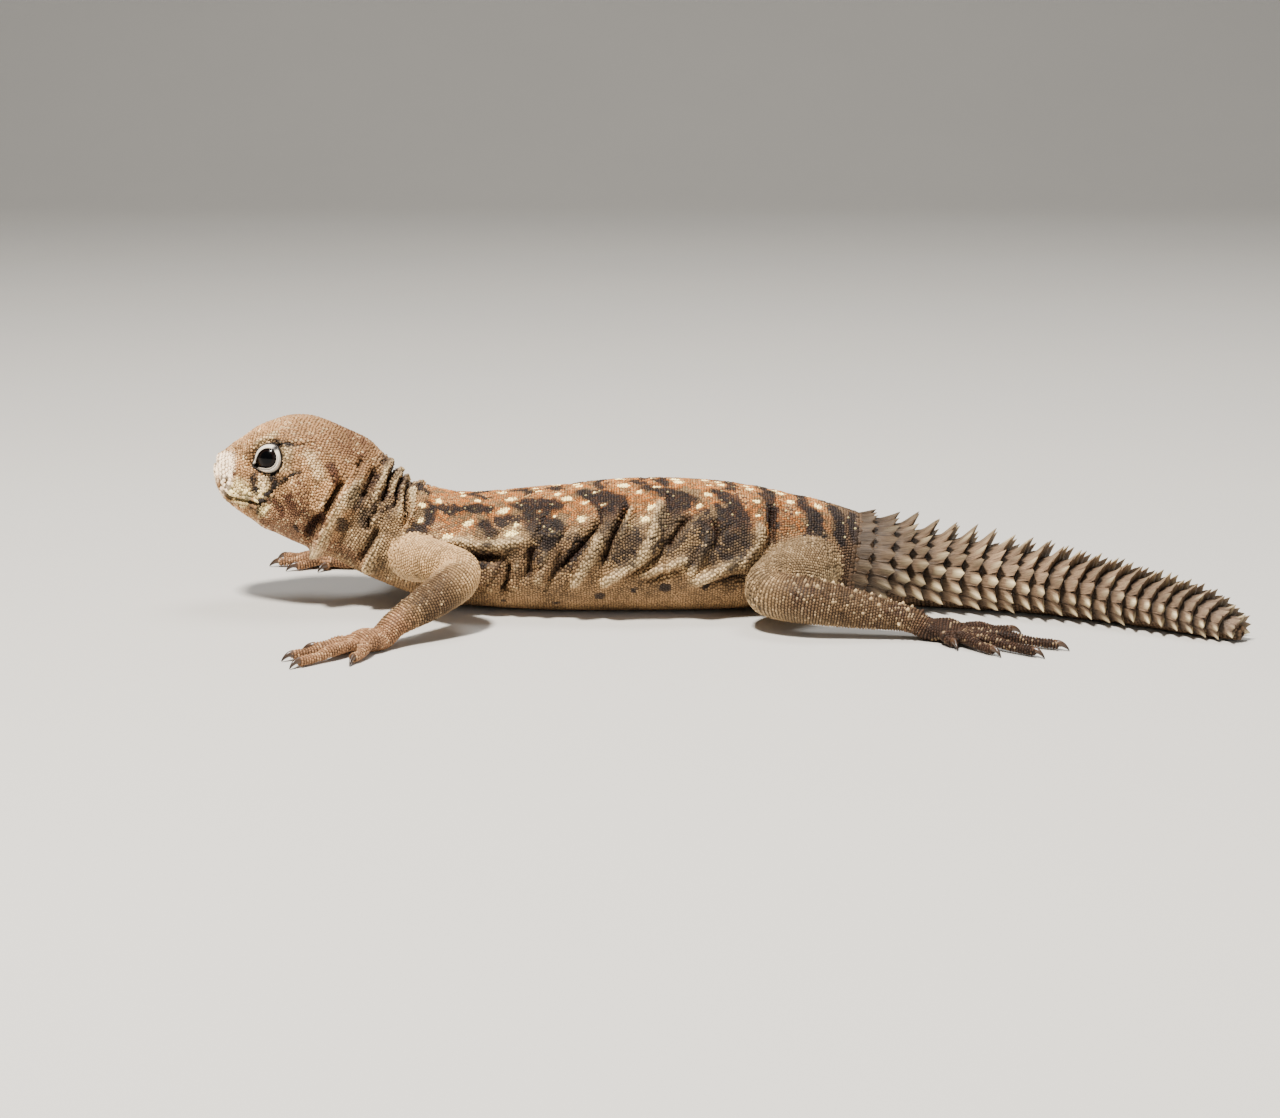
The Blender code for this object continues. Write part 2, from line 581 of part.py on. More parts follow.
# Along a digit: share of its length, lift of the knuckle, and thickness against the taper.
DIGIT_SHAPE = ((0.25, 0.6, 1.0), (0.5, 0.45, 1.12), (0.75, 0.21, 0.9), (1.0, 0.06, 0.92))
# Along a claw: share of its length, height and radius in mm.
CLAW_SHAPE = ((0.12, 1.05, 0.5), (0.3, 1.15, 0.36), (0.7, 0.8, 0.26), (1.0, 0.2, 0.13))
CLAW_LENGTH = 1.7 * MM
KNUCKLE_LIFT = 1.0 * MM
DIGIT_ROOT_OUT = 0.45 * PALM_SIZE.y
DIGIT_ROOT_HEIGHT = 0.85 * PALM_HEIGHT
DIGIT_ROOT_RADIUS = 1.05 * DIGIT_RADIUS
WRIST_RADII = (1.9 * MM, 1.85 * MM, 1.6 * MM)
WRIST_BOX = 12 * MM            # the block that squares the wrist or ankle off at the limb
SINK = 0.12 * MM               # how far soles go below the floor before they are trimmed flat


def make_limb(name, stations, parts, cutter):
    """One length of a leg; where it starts inside the trunk it is cut back to the trunk's surface."""
    loft = Loft(stations)
    steps = 3 * loft.last()
    places = [loft.last() * i / steps for i in range(steps + 1)]
    limb = as_object(loft_mesh(loft, places, 14), name, parts, SKIN)
    if cutter:
        boolean(limb, "DIFFERENCE", [cutter])
    return limb


def digit(name, root, tip, bend, into):
    """A toe and its claw: it rises from the palm over a knuckle, lies on the floor and hooks down."""
    run = (tip - root).normalized()
    side = Vector((-run.y, run.x, 0))
    length = (tip - root).length
    toe_end = length - CLAW_LENGTH
    points, radii = [root], [DIGIT_ROOT_RADIUS]
    for share, lift, thick in DIGIT_SHAPE:
        place = root + run * toe_end * share + side * bend * math.sin(math.pi * share)
        radius = DIGIT_RADIUS * thick * (1 - DIGIT_TAPER * share)
        place.z = radius - SINK + KNUCKLE_LIFT * lift
        points.append(place)
        radii.append(radius)
    for share, height, radius in CLAW_SHAPE:
        place = root + run * (toe_end + CLAW_LENGTH * share)
        place.z = height * MM
        points.append(place)
        radii.append(radius * MM)
    return tube(name, points, radii, into, sides=6)


def make_paw(name, palm, tips, limb_end, heading, parts, tools):
    """A palm with five digits, cut square to the limb at the wrist."""
    centre = Vector((palm[0] * MM, palm[1] * MM, PALM_HEIGHT))
    toward = Vector((limb_end.x, limb_end.y, 0)) - Vector((centre.x, centre.y, 0))
    turn = Matrix.Rotation(math.atan2(toward.y, toward.x), 3, "Z")
    paw = ball(name, centre, PALM_SIZE, turn, parts, SKIN, 14, 9)
    wrist = [limb_end, limb_end.lerp(centre, 0.55) + heading * GAP, centre]
    joined = [tube(name + "_wrist", wrist, WRIST_RADII, tools, 10)]
    for i, tip in enumerate(tips):
        claw = Vector((tip[0] * MM, tip[1] * MM, 0))
        away = (claw - Vector((centre.x, centre.y, 0))).normalized()
        root = centre + away * DIGIT_ROOT_OUT
        root.z = DIGIT_ROOT_HEIGHT
        joined.append(digit(f"{name}_digit_{i + 1}", root, claw, DIGIT_BOW * (i - 2), tools))
    boolean(paw, "UNION", joined)
    mesh = bmesh.new()
    bmesh.ops.create_cube(mesh, size=WRIST_BOX)
    face = Matrix.Translation(limb_end + heading * (GAP - WRIST_BOX / 2))
    spin = heading.to_track_quat("Z", "Y").to_matrix().to_4x4()
    mesh.transform(face @ spin)
    boolean(paw, "DIFFERENCE", [as_object(mesh, "wrist_cut", tools, SKIN)])
    trim_to_floor(paw, tools)


def part_at_joint(first, second, tools):
    """Cuts second clear of first by the gap, where an elbow or a knee makes them cross."""
    mesh = bmesh.new()
    mesh.from_mesh(first.data)
    mesh.normal_update()
    for vert in mesh.verts:
        vert.co += vert.normal * CUT_GAP
    boolean(second, "DIFFERENCE", [as_object(mesh, "joint_cut", tools, SKIN)])


def make_legs(trunk, parts, tools):
    limbs = {}
    for name, stations in LIMBS:
        rooted = name.startswith(("upper_arm", "thigh"))
        limbs[name] = make_limb(name, stations, parts, trunk_cutter(trunk, tools) if rooted else None)
    for upper, lower, paw in (("upper_arm", "forearm", "hand"), ("thigh", "shank", "foot")):
        for side in ("left", "right"):
            part_at_joint(limbs[f"{upper}_{side}"], limbs[f"{lower}_{side}"], tools)
            stations = dict(LIMBS)[f"{lower}_{side}"]
            end = Vector(stations[-1][:3]) * MM
            heading = (end - Vector(stations[-2][:3]) * MM).normalized()
            name, palm, tips = next(p for p in PAWS if p[0] == f"{paw}_{side}")
            make_paw(name, palm, tips, end, heading, parts, tools)
    for limb in limbs.values():
        if min(v.co.z for v in limb.data.vertices) < 0:
            trim_to_floor(limb, tools)


def main():
    clear_scene()
    parts = collection("uromastyx")
    tools = collection("cutters")
    trunk = Loft([row[1:] for row in TRUNK])
    make_head(trunk, parts, tools)
    make_neck(trunk, parts)
    make_torso(trunk, parts, tools)
    make_tail(trunk, parts, tools)
    make_legs(trunk, parts, tools)


main()
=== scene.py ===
import math

import bmesh
import bpy
import numpy as np
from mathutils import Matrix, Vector
from mathutils.bvhtree import BVHTree
from mathutils.kdtree import KDTree


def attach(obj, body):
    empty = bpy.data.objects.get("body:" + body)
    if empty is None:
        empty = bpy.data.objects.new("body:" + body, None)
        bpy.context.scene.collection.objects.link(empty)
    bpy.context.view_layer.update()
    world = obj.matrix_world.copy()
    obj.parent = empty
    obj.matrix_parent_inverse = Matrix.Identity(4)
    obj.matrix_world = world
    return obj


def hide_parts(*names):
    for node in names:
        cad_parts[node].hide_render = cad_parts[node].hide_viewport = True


# The uromastyx in its own skin. Shapes are worked out in millimetres and written in metres.
# The head points to -X, the lizard's left side faces -Y, and the floor is z = 0.
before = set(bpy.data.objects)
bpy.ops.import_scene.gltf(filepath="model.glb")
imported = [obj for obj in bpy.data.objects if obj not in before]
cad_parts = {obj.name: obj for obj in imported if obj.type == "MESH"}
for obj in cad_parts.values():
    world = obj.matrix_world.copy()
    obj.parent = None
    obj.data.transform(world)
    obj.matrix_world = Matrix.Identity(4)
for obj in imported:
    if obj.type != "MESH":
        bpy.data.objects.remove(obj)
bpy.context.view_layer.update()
mm = 0.001
chance = np.random.default_rng(21)

body = {
    # spine x, y, z, half width, height above and below the spine, boxiness of the section
    "stations": {
        "snout tip": (-68.4, 0.0, 18.9, 1.5, 1.7, 1.7, 2.0),
        "snout": (-67.8, 0.0, 19.0, 2.9, 3.0, 2.8, 2.2),
        "nose": (-66.2, 0.0, 19.1, 4.3, 4.3, 4.6, 2.3),
        "muzzle": (-64.0, 0.0, 19.2, 5.5, 5.7, 6.1, 2.5),
        "eye": (-61.0, 0.0, 19.2, 6.7, 7.7, 7.8, 2.6),
        "crown": (-57.5, 0.0, 18.7, 8.0, 9.0, 8.3, 2.5),
        "jaw angle": (-53.5, 0.0, 17.3, 8.3, 9.0, 8.7, 2.3),
        "neck": (-48.5, 0.0, 14.8, 7.3, 7.9, 8.5, 2.1),
        "shoulder": (-42.5, 0.0, 11.3, 8.6, 7.6, 8.1, 2.1),
        "chest": (-34.0, 0.0, 8.9, 10.5, 7.5, 8.4, 2.2),
        "ribs": (-21.0, 0.0, 8.4, 12.1, 8.7, 8.8, 2.3),
        "belly": (-7.0, 0.0, 8.6, 13.0, 9.7, 9.0, 2.3),
        "loin": (6.0, 0.0, 8.3, 11.9, 9.4, 8.6, 2.3),
        "pelvis": (17.0, 0.0, 7.7, 9.3, 7.9, 7.5, 2.2),
        "tail root": (25.5, -0.1, 6.6, 7.3, 6.4, 6.4, 2.2),
        "tail base": (35.0, -1.0, 5.3, 6.3, 4.9, 5.4, 2.2),
        "tail middle": (49.5, -5.2, 4.3, 5.4, 3.9, 4.4, 2.2),
        "tail rear": (62.0, -12.4, 3.6, 4.5, 3.2, 3.7, 2.1),
        "tail end": (71.6, -20.2, 2.8, 3.1, 2.4, 2.9, 2.0),
        "tail tip": (76.0, -24.6, 1.6, 0.7, 0.7, 1.5, 2.0),
    },
    "tailStartX": 23.6,
}

# Each leg runs from inside the trunk over the elbow or knee to the wrist or ankle.
# "claws" are the tips of the five claws on the floor, (x, y).
legs = {
    "frontLeft": {
        "line": ((-41.0, -3.0, 9.0), (-39.6, -8.4, 8.8), (-36.2, -12.8, 9.0), (-32.8, -15.8, 8.6),
                 (-31.9, -17.2, 8.2), (-33.0, -19.6, 7.2), (-36.4, -22.8, 5.2), (-40.4, -26.0, 3.2)),
        "palm": (-43.6, -28.8),
        "claws": ((-48.6, -26.4), (-53.0, -30.4), (-55.0, -35.4), (-53.4, -39.6), (-45.6, -38.0)),
    },
    "frontRight": {
        "line": ((-41.0, 3.0, 9.0), (-40.4, 8.4, 8.7), (-39.4, 13.0, 8.8), (-38.6, 16.8, 8.4),
                 (-38.7, 18.3, 8.0), (-40.8, 19.9, 7.0), (-44.8, 21.6, 5.1), (-49.3, 23.4, 3.2)),
        "palm": (-53.2, 25.0),
        "claws": ((-56.6, 20.8), (-61.6, 21.6), (-64.6, 25.2), (-64.0, 30.2), (-57.0, 33.4)),
    },
    "hindLeft": {
        "line": ((20.5, -2.5, 7.4), (17.0, -8.4, 7.3), (13.4, -12.8, 6.8), (11.2, -16.0, 6.0),
                 (11.6, -18.4, 5.4), (16.0, -20.2, 5.0), (23.0, -21.0, 3.9), (30.0, -21.8, 2.8)),
        "palm": (34.6, -22.8),
        "claws": ((36.2, -29.4), (41.6, -33.2), (47.4, -33.8), (51.4, -29.4), (46.2, -19.6)),
    },
    "hindRight": {
        "line": ((20.5, 2.5, 7.4), (17.4, 8.4, 7.3), (14.6, 13.0, 6.8), (12.6, 16.4, 6.0),
                 (13.0, 18.8, 5.4), (17.0, 20.8, 5.0), (23.4, 22.6, 3.9), (29.6, 24.8, 2.8)),
        "palm": (33.8, 26.4),
        "claws": ((34.4, 33.0), (39.6, 37.4), (45.4, 38.4), (49.8, 34.6), (45.2, 24.4)),
    },
}

# half width, height above and below the line at each of its points
legSections = {
    "front": ((3.4, 3.8, 3.8), (3.4, 3.6, 3.6), (3.0, 3.2, 3.2), (2.9, 3.0, 3.0), (2.7, 2.9, 2.9),
              (3.1, 3.0, 3.0), (2.7, 2.5, 2.6), (2.15, 1.8, 1.9)),
    "hind": ((3.9, 4.4, 4.2), (4.4, 4.6, 4.4), (4.1, 4.2, 4.2), (3.6, 3.7, 3.7), (3.2, 3.3, 3.3),
             (3.5, 3.4, 3.3), (2.9, 2.7, 2.7), (2.15, 1.8, 1.9)),
}

paw = {
    "palmHeight": 1.45,
    # along the palm from its middle: distance, half width, height above and below
    "palmSections": ((-1.6, 2.2, 1.6, 1.6), (0.6, 2.8, 1.75, 1.5), (2.2, 2.5, 1.4, 1.3),
                     (3.2, 1.4, 0.8, 0.8)),
    "digitRootOut": 1.3,
    "digitRadius": 0.86,
    "digitTaper": 0.14,
    "digitBow": 0.25,
    "knuckleLift": 1.0,
    # share of the digit's length, lift of the knuckle, thickness
    "digitShape": ((0.0, 0.35, 1.05), (0.25, 0.6, 1.0), (0.5, 0.45, 1.14), (0.75, 0.21, 0.92),
                   (1.0, 0.1, 0.98)),
    # height, half width, height above and below at the digit's end, inside the claw
    "digitEnd": (0.75, 0.35, 0.4, 0.5),
    "clawLength": 1.8,
    "clawInside": 0.5,
}


def unit(v):
    return v / np.maximum(np.linalg.norm(v, axis=-1, keepdims=True), 1e-9)


def curve(p0, p1, p2, p3, f):  # Catmull-Rom from p1 to p2
    return 0.5 * (2 * p1 + (p2 - p0) * f + (2 * p0 - 5 * p1 + 4 * p2 - p3) * f ** 2
                  + (3 * p1 - p0 - 3 * p2 + p3) * f ** 3)


def smoothRow(rows, t):  # a smooth line through evenly counted rows
    last = len(rows) - 1
    i = np.minimum(t.astype(int), last - 1)
    p1, p2 = rows[i], rows[i + 1]
    p0 = np.where(i[:, None] > 0, rows[np.maximum(i - 1, 0)], 2 * p1 - p2)
    p3 = np.where(i[:, None] < last - 1, rows[np.minimum(i + 2, last)], 2 * p2 - p1)
    return curve(p0, p1, p2, p3, (t - i)[:, None])


def passed(line):  # the length run along a line of points, up to each of them
    return np.concatenate([[0], np.cumsum(np.linalg.norm(np.diff(line, axis=0), axis=1))])


class Loft:  # a tube of changing section along a smooth line of stations
    def __init__(self, stations):
        self.rows = np.array([(*row, 2) if len(row) == 6 else row for row in stations], float)
        self.last = len(self.rows) - 1

    def frames(self, t):
        t = np.clip(np.asarray(t, float), 0, self.last)
        row = smoothRow(self.rows, t)
        ahead = smoothRow(self.rows, np.minimum(t + 0.02, self.last))
        behind = smoothRow(self.rows, np.maximum(t - 0.02, 0))
        along = unit(ahead[:, :3] - behind[:, :3])
        side = unit(np.cross(along, (0, 0, 1)))
        return row, along, side, np.cross(side, along)

    def points(self, t, angle):  # places on the surface and the directions out of it
        row, along, side, up = self.frames(t)
        c, s = np.cos(angle), np.sin(angle)
        power = 2 / row[:, 6]
        tall = np.where(c > 0, row[:, 4], row[:, 5])
        across = (np.sign(s) * abs(s) ** power * row[:, 3])[:, None]
        height = (np.sign(c) * abs(c) ** power * tall)[:, None]
        spot = row[:, :3] - side * across + up * height
        out = unit(up * height / tall[:, None] ** 2 - side * across / row[:, 3:4] ** 2)
        return spot, out

    def grid(self, rows, around):
        turn = np.linspace(-math.pi, math.pi, around + 1)[:-1]
        t, angle = np.meshgrid(np.linspace(0, self.last, rows), turn, indexing="ij")
        return self.points(t.ravel(), angle.ravel())[0].reshape(rows, around, 3)

    def findX(self, x):
        t = np.linspace(0, self.last, 2000)
        return float(np.interp(x, smoothRow(self.rows, t)[:, 0], t))

    def length(self):
        line = smoothRow(self.rows, np.linspace(0, self.last, 60))[:, :3]
        return float(np.linalg.norm(np.diff(line, axis=0), axis=1).sum())


def legLoft(name, leg):
    centre = np.array(leg["palm"])
    heading = unit(centre - leg["line"][-1][:2])
    kind = "front" if name.startswith("front") else "hind"
    rows = [(*spot, *section) for spot, section in zip(leg["line"], legSections[kind])]
    palm = [(*(centre + heading * away), paw["palmHeight"], wide, above, below)
            for away, wide, above, below in paw["palmSections"]]
    return Loft([*rows, *palm])


def digitLoft(leg, i):
    centre, tip = np.array(leg["palm"]), np.array(leg["claws"][i])
    run = unit(tip - centre)
    root = centre + run * paw["digitRootOut"]
    side = np.array([-run[1], run[0]]) * paw["digitBow"] * (i - 2)
    length = np.linalg.norm(tip - root) - paw["clawLength"]
    rows = []
    for share, lift, thick in paw["digitShape"]:
        x, y = root + run * length * share + side * math.sin(math.pi * share)
        radius = paw["digitRadius"] * thick * (1 - paw["digitTaper"] * share)
        rows.append((x, y, radius + paw["knuckleLift"] * lift, radius, radius, radius))
    end = root + run * (length + paw["clawInside"])
    return Loft([*rows, (*end, *paw["digitEnd"])])


trunk = Loft(list(body["stations"].values()))
legLofts = {name: legLoft(name, leg) for name, leg in legs.items()}
digitLofts = {f"{name}{i}": digitLoft(leg, i) for name, leg in legs.items() for i in range(5)}


# Small helpers for meshes

def gridFaces(rows, around, closed=True):
    k = np.arange(around if closed else around - 1)
    n = (k + 1) % around
    start = np.arange(rows - 1)[:, None] * around
    return np.stack([start + k, start + n, start + around + n, start + around + k], -1).reshape(-1, 4)


def triangles(quads):
    return np.concatenate([quads[:, [0, 1, 2]], quads[:, [0, 2, 3]]])


def joined(parts):  # the points and faces of several parts as one
    counts = np.cumsum([0] + [len(points) for points, faces in parts])
    return (np.concatenate([points for points, faces in parts]),
            np.concatenate([faces + count for (points, faces), count in zip(parts, counts)]))


def newMesh(name, points, faces, scale=mm):
    data = bpy.data.meshes.new(name)
    data.vertices.add(len(points))
    data.vertices.foreach_set("co", (np.asarray(points) * scale).astype(np.float32).ravel())
    data.loops.add(faces.size)
    data.loops.foreach_set("vertex_index", faces.astype(np.int32).ravel())
    data.polygons.add(len(faces))
    data.polygons.foreach_set("loop_start", np.arange(len(faces), dtype=np.int32) * faces.shape[1])
    data.update(calc_edges=True)
    data.shade_smooth()
    made = bpy.data.objects.new(name, data)
    bpy.context.scene.collection.objects.link(made)
    return made


def setValues(thing, values):  # one named number for each vertex
    for name, numbers in values.items():
        layer = thing.data.attributes.new(name, "FLOAT", "POINT")
        layer.data.foreach_set("value", np.asarray(numbers, np.float32))


def setPoints(thing, points):
    thing.data.vertices.foreach_set("co", np.asarray(points).astype(np.float32).ravel())
    thing.data.update()


def readPoints(data, what="co"):
    found = np.empty(len(data.vertices) * 3, np.float32)
    data.vertices.foreach_get(what, found)
    return found.reshape(-1, 3).astype(float)


def applyModifiers(thing):
    graph = bpy.context.evaluated_depsgraph_get()
    data = bpy.data.meshes.new_from_object(thing.evaluated_get(graph))
    thing.modifiers.clear()
    old = thing.data
    thing.data = data
    bpy.data.meshes.remove(old)


def easeIn(x, low, high):  # 0 below low, 1 above high, smooth between
    f = np.clip((np.asarray(x, float) - low) / (high - low), 0, 1)
    return f * f * (3 - 2 * f)


def easeOut(x, low, high):  # 1 below low, 0 above high
    return 1 - easeIn(x, low, high)


def between(x, a, b, c, d):  # rises from a to b and falls from c to d
    return easeIn(x, a, b) * easeOut(x, c, d)


def hill(x, half=1.0, power=2):  # 1 at 0, near 0 beyond half
    return np.exp(-(x / half) ** power)


def cloudNoise(points, size, seed=0):  # smooth noise from -1 to 1 at places in the body, size in mm
    p = np.asarray(points, float) / size + 37.1 * (seed + 1)
    cell = np.floor(p).astype(np.int64)
    f = p - cell
    f = f * f * (3 - 2 * f)
    total = np.zeros(len(p))
    for corner in range(8):
        offset = np.array([corner & 1, corner >> 1 & 1, corner >> 2 & 1])
        c = cell + offset
        mixed = (c[:, 0] * 73856093) ^ (c[:, 1] * 19349663) ^ (c[:, 2] * 83492791) ^ (seed * 2654435)
        mixed = (mixed ^ (mixed >> 13)) * 1274126177 & 0x7FFFFFFF
        weight = np.prod(np.where(offset, f, 1 - f), axis=1)
        total += weight * ((mixed % 20011) / 10005.5 - 1)
    return total


def pathDistance(s, g, path):
    # distance to a line of points on the unrolled skin, the share along it, and how far behind it a place is
    best, where, behind = np.full(len(s), 1e9), np.zeros(len(s)), np.zeros(len(s))
    for i in range(len(path) - 1):
        (ax, ay), (bx, by) = path[i], path[i + 1]
        dx, dy = bx - ax, by - ay
        f = np.clip(((s - ax) * dx + (g - ay) * dy) / (dx * dx + dy * dy), 0, 1)
        gap = np.hypot(s - ax - f * dx, g - ay - f * dy)
        closer = gap < best
        best = np.where(closer, gap, best)
        where = np.where(closer, (i + f) / (len(path) - 1), where)
        behind = np.where(closer, s - ax - f * dx, behind)
    return best, where, behind


def treeOf(points):
    tree = KDTree(len(points))
    for i, p in enumerate(points):
        tree.insert(p, i)
    tree.balance()
    return tree


mapGrid = {"step": 0.35, "roundTrunk": 144, "roundLeg": 40}   # mm along each part, and places round it


class SkinMap:  # tells for any place near the skin which part it is on, how far along it and how far round
    def __init__(self, lofts):
        lists = {"spots": [], "info": [], "alongs": [], "arounds": []}
        for part, loft in enumerate(lofts.values()):
            rows = int(loft.length() / mapGrid["step"]) + 2
            around = mapGrid["roundLeg"] if part else mapGrid["roundTrunk"]
            grid = loft.grid(rows, around)
            t = np.linspace(0, loft.last, rows)
            spine = smoothRow(loft.rows, t)[:, 0] if part == 0 else t
            ahead = np.gradient(grid, axis=0)
            ring = np.roll(grid, -1, axis=1) - grid
            steps = np.cumsum(np.linalg.norm(ring, axis=2), axis=1)
            girth = np.concatenate([np.zeros((rows, 1)), steps], axis=1)
            girth = girth[:, :-1] - girth[:, around // 2:around // 2 + 1]
            size = np.maximum((ahead ** 2).sum(axis=2, keepdims=True), 1e-6)
            rate = np.gradient(spine)[:, None, None]
            owner = np.full(rows * around, part)
            lists["spots"].append(grid.reshape(-1, 3))
            lists["info"].append(np.stack([owner, np.repeat(spine, around), girth.ravel()], axis=1))
            lists["alongs"].append((ahead / size * rate).reshape(-1, 3))
            lists["arounds"].append(unit(ring).reshape(-1, 3))
        self.spots, self.info, self.alongs, self.arounds = (np.concatenate(v) for v in lists.values())
        self.tree = treeOf(self.spots)

    def nearest(self, points):
        return np.array([self.tree.find(p)[1] for p in points])

    def find(self, points):  # part number, place along, girth from the top line; a positive girth is +Y
        near = self.nearest(points)
        offset = points - self.spots[near]
        part, s, g = self.info[near].T
        s = s + (offset * self.alongs[near]).sum(axis=1)
        g = g + (offset * self.arounds[near]).sum(axis=1)
        return part.astype(int), s, g


allLofts = {"trunk": trunk, **legLofts, **digitLofts}
skinMap = SkinMap(allLofts)
print("skin map ready:", len(skinMap.spots), "places")


# The skin: every loft fused, smoothed where legs and toes join, then sculpted

skin = {
    "voxel": 0.33,
    "inset": 0.16,           # the scales stand out over the skin by about this much
    "fineX": -39.0,          # in front of this the skin is twice as fine
    "loftStep": 0.8,         # mm between the sections of the lofts before they are fused
    "joinReach": {"leg": 3.0, "digit": 1.0},
    "joinRounds": 24,
    "legReach": 1.6,         # folds fade out this near to a leg
}

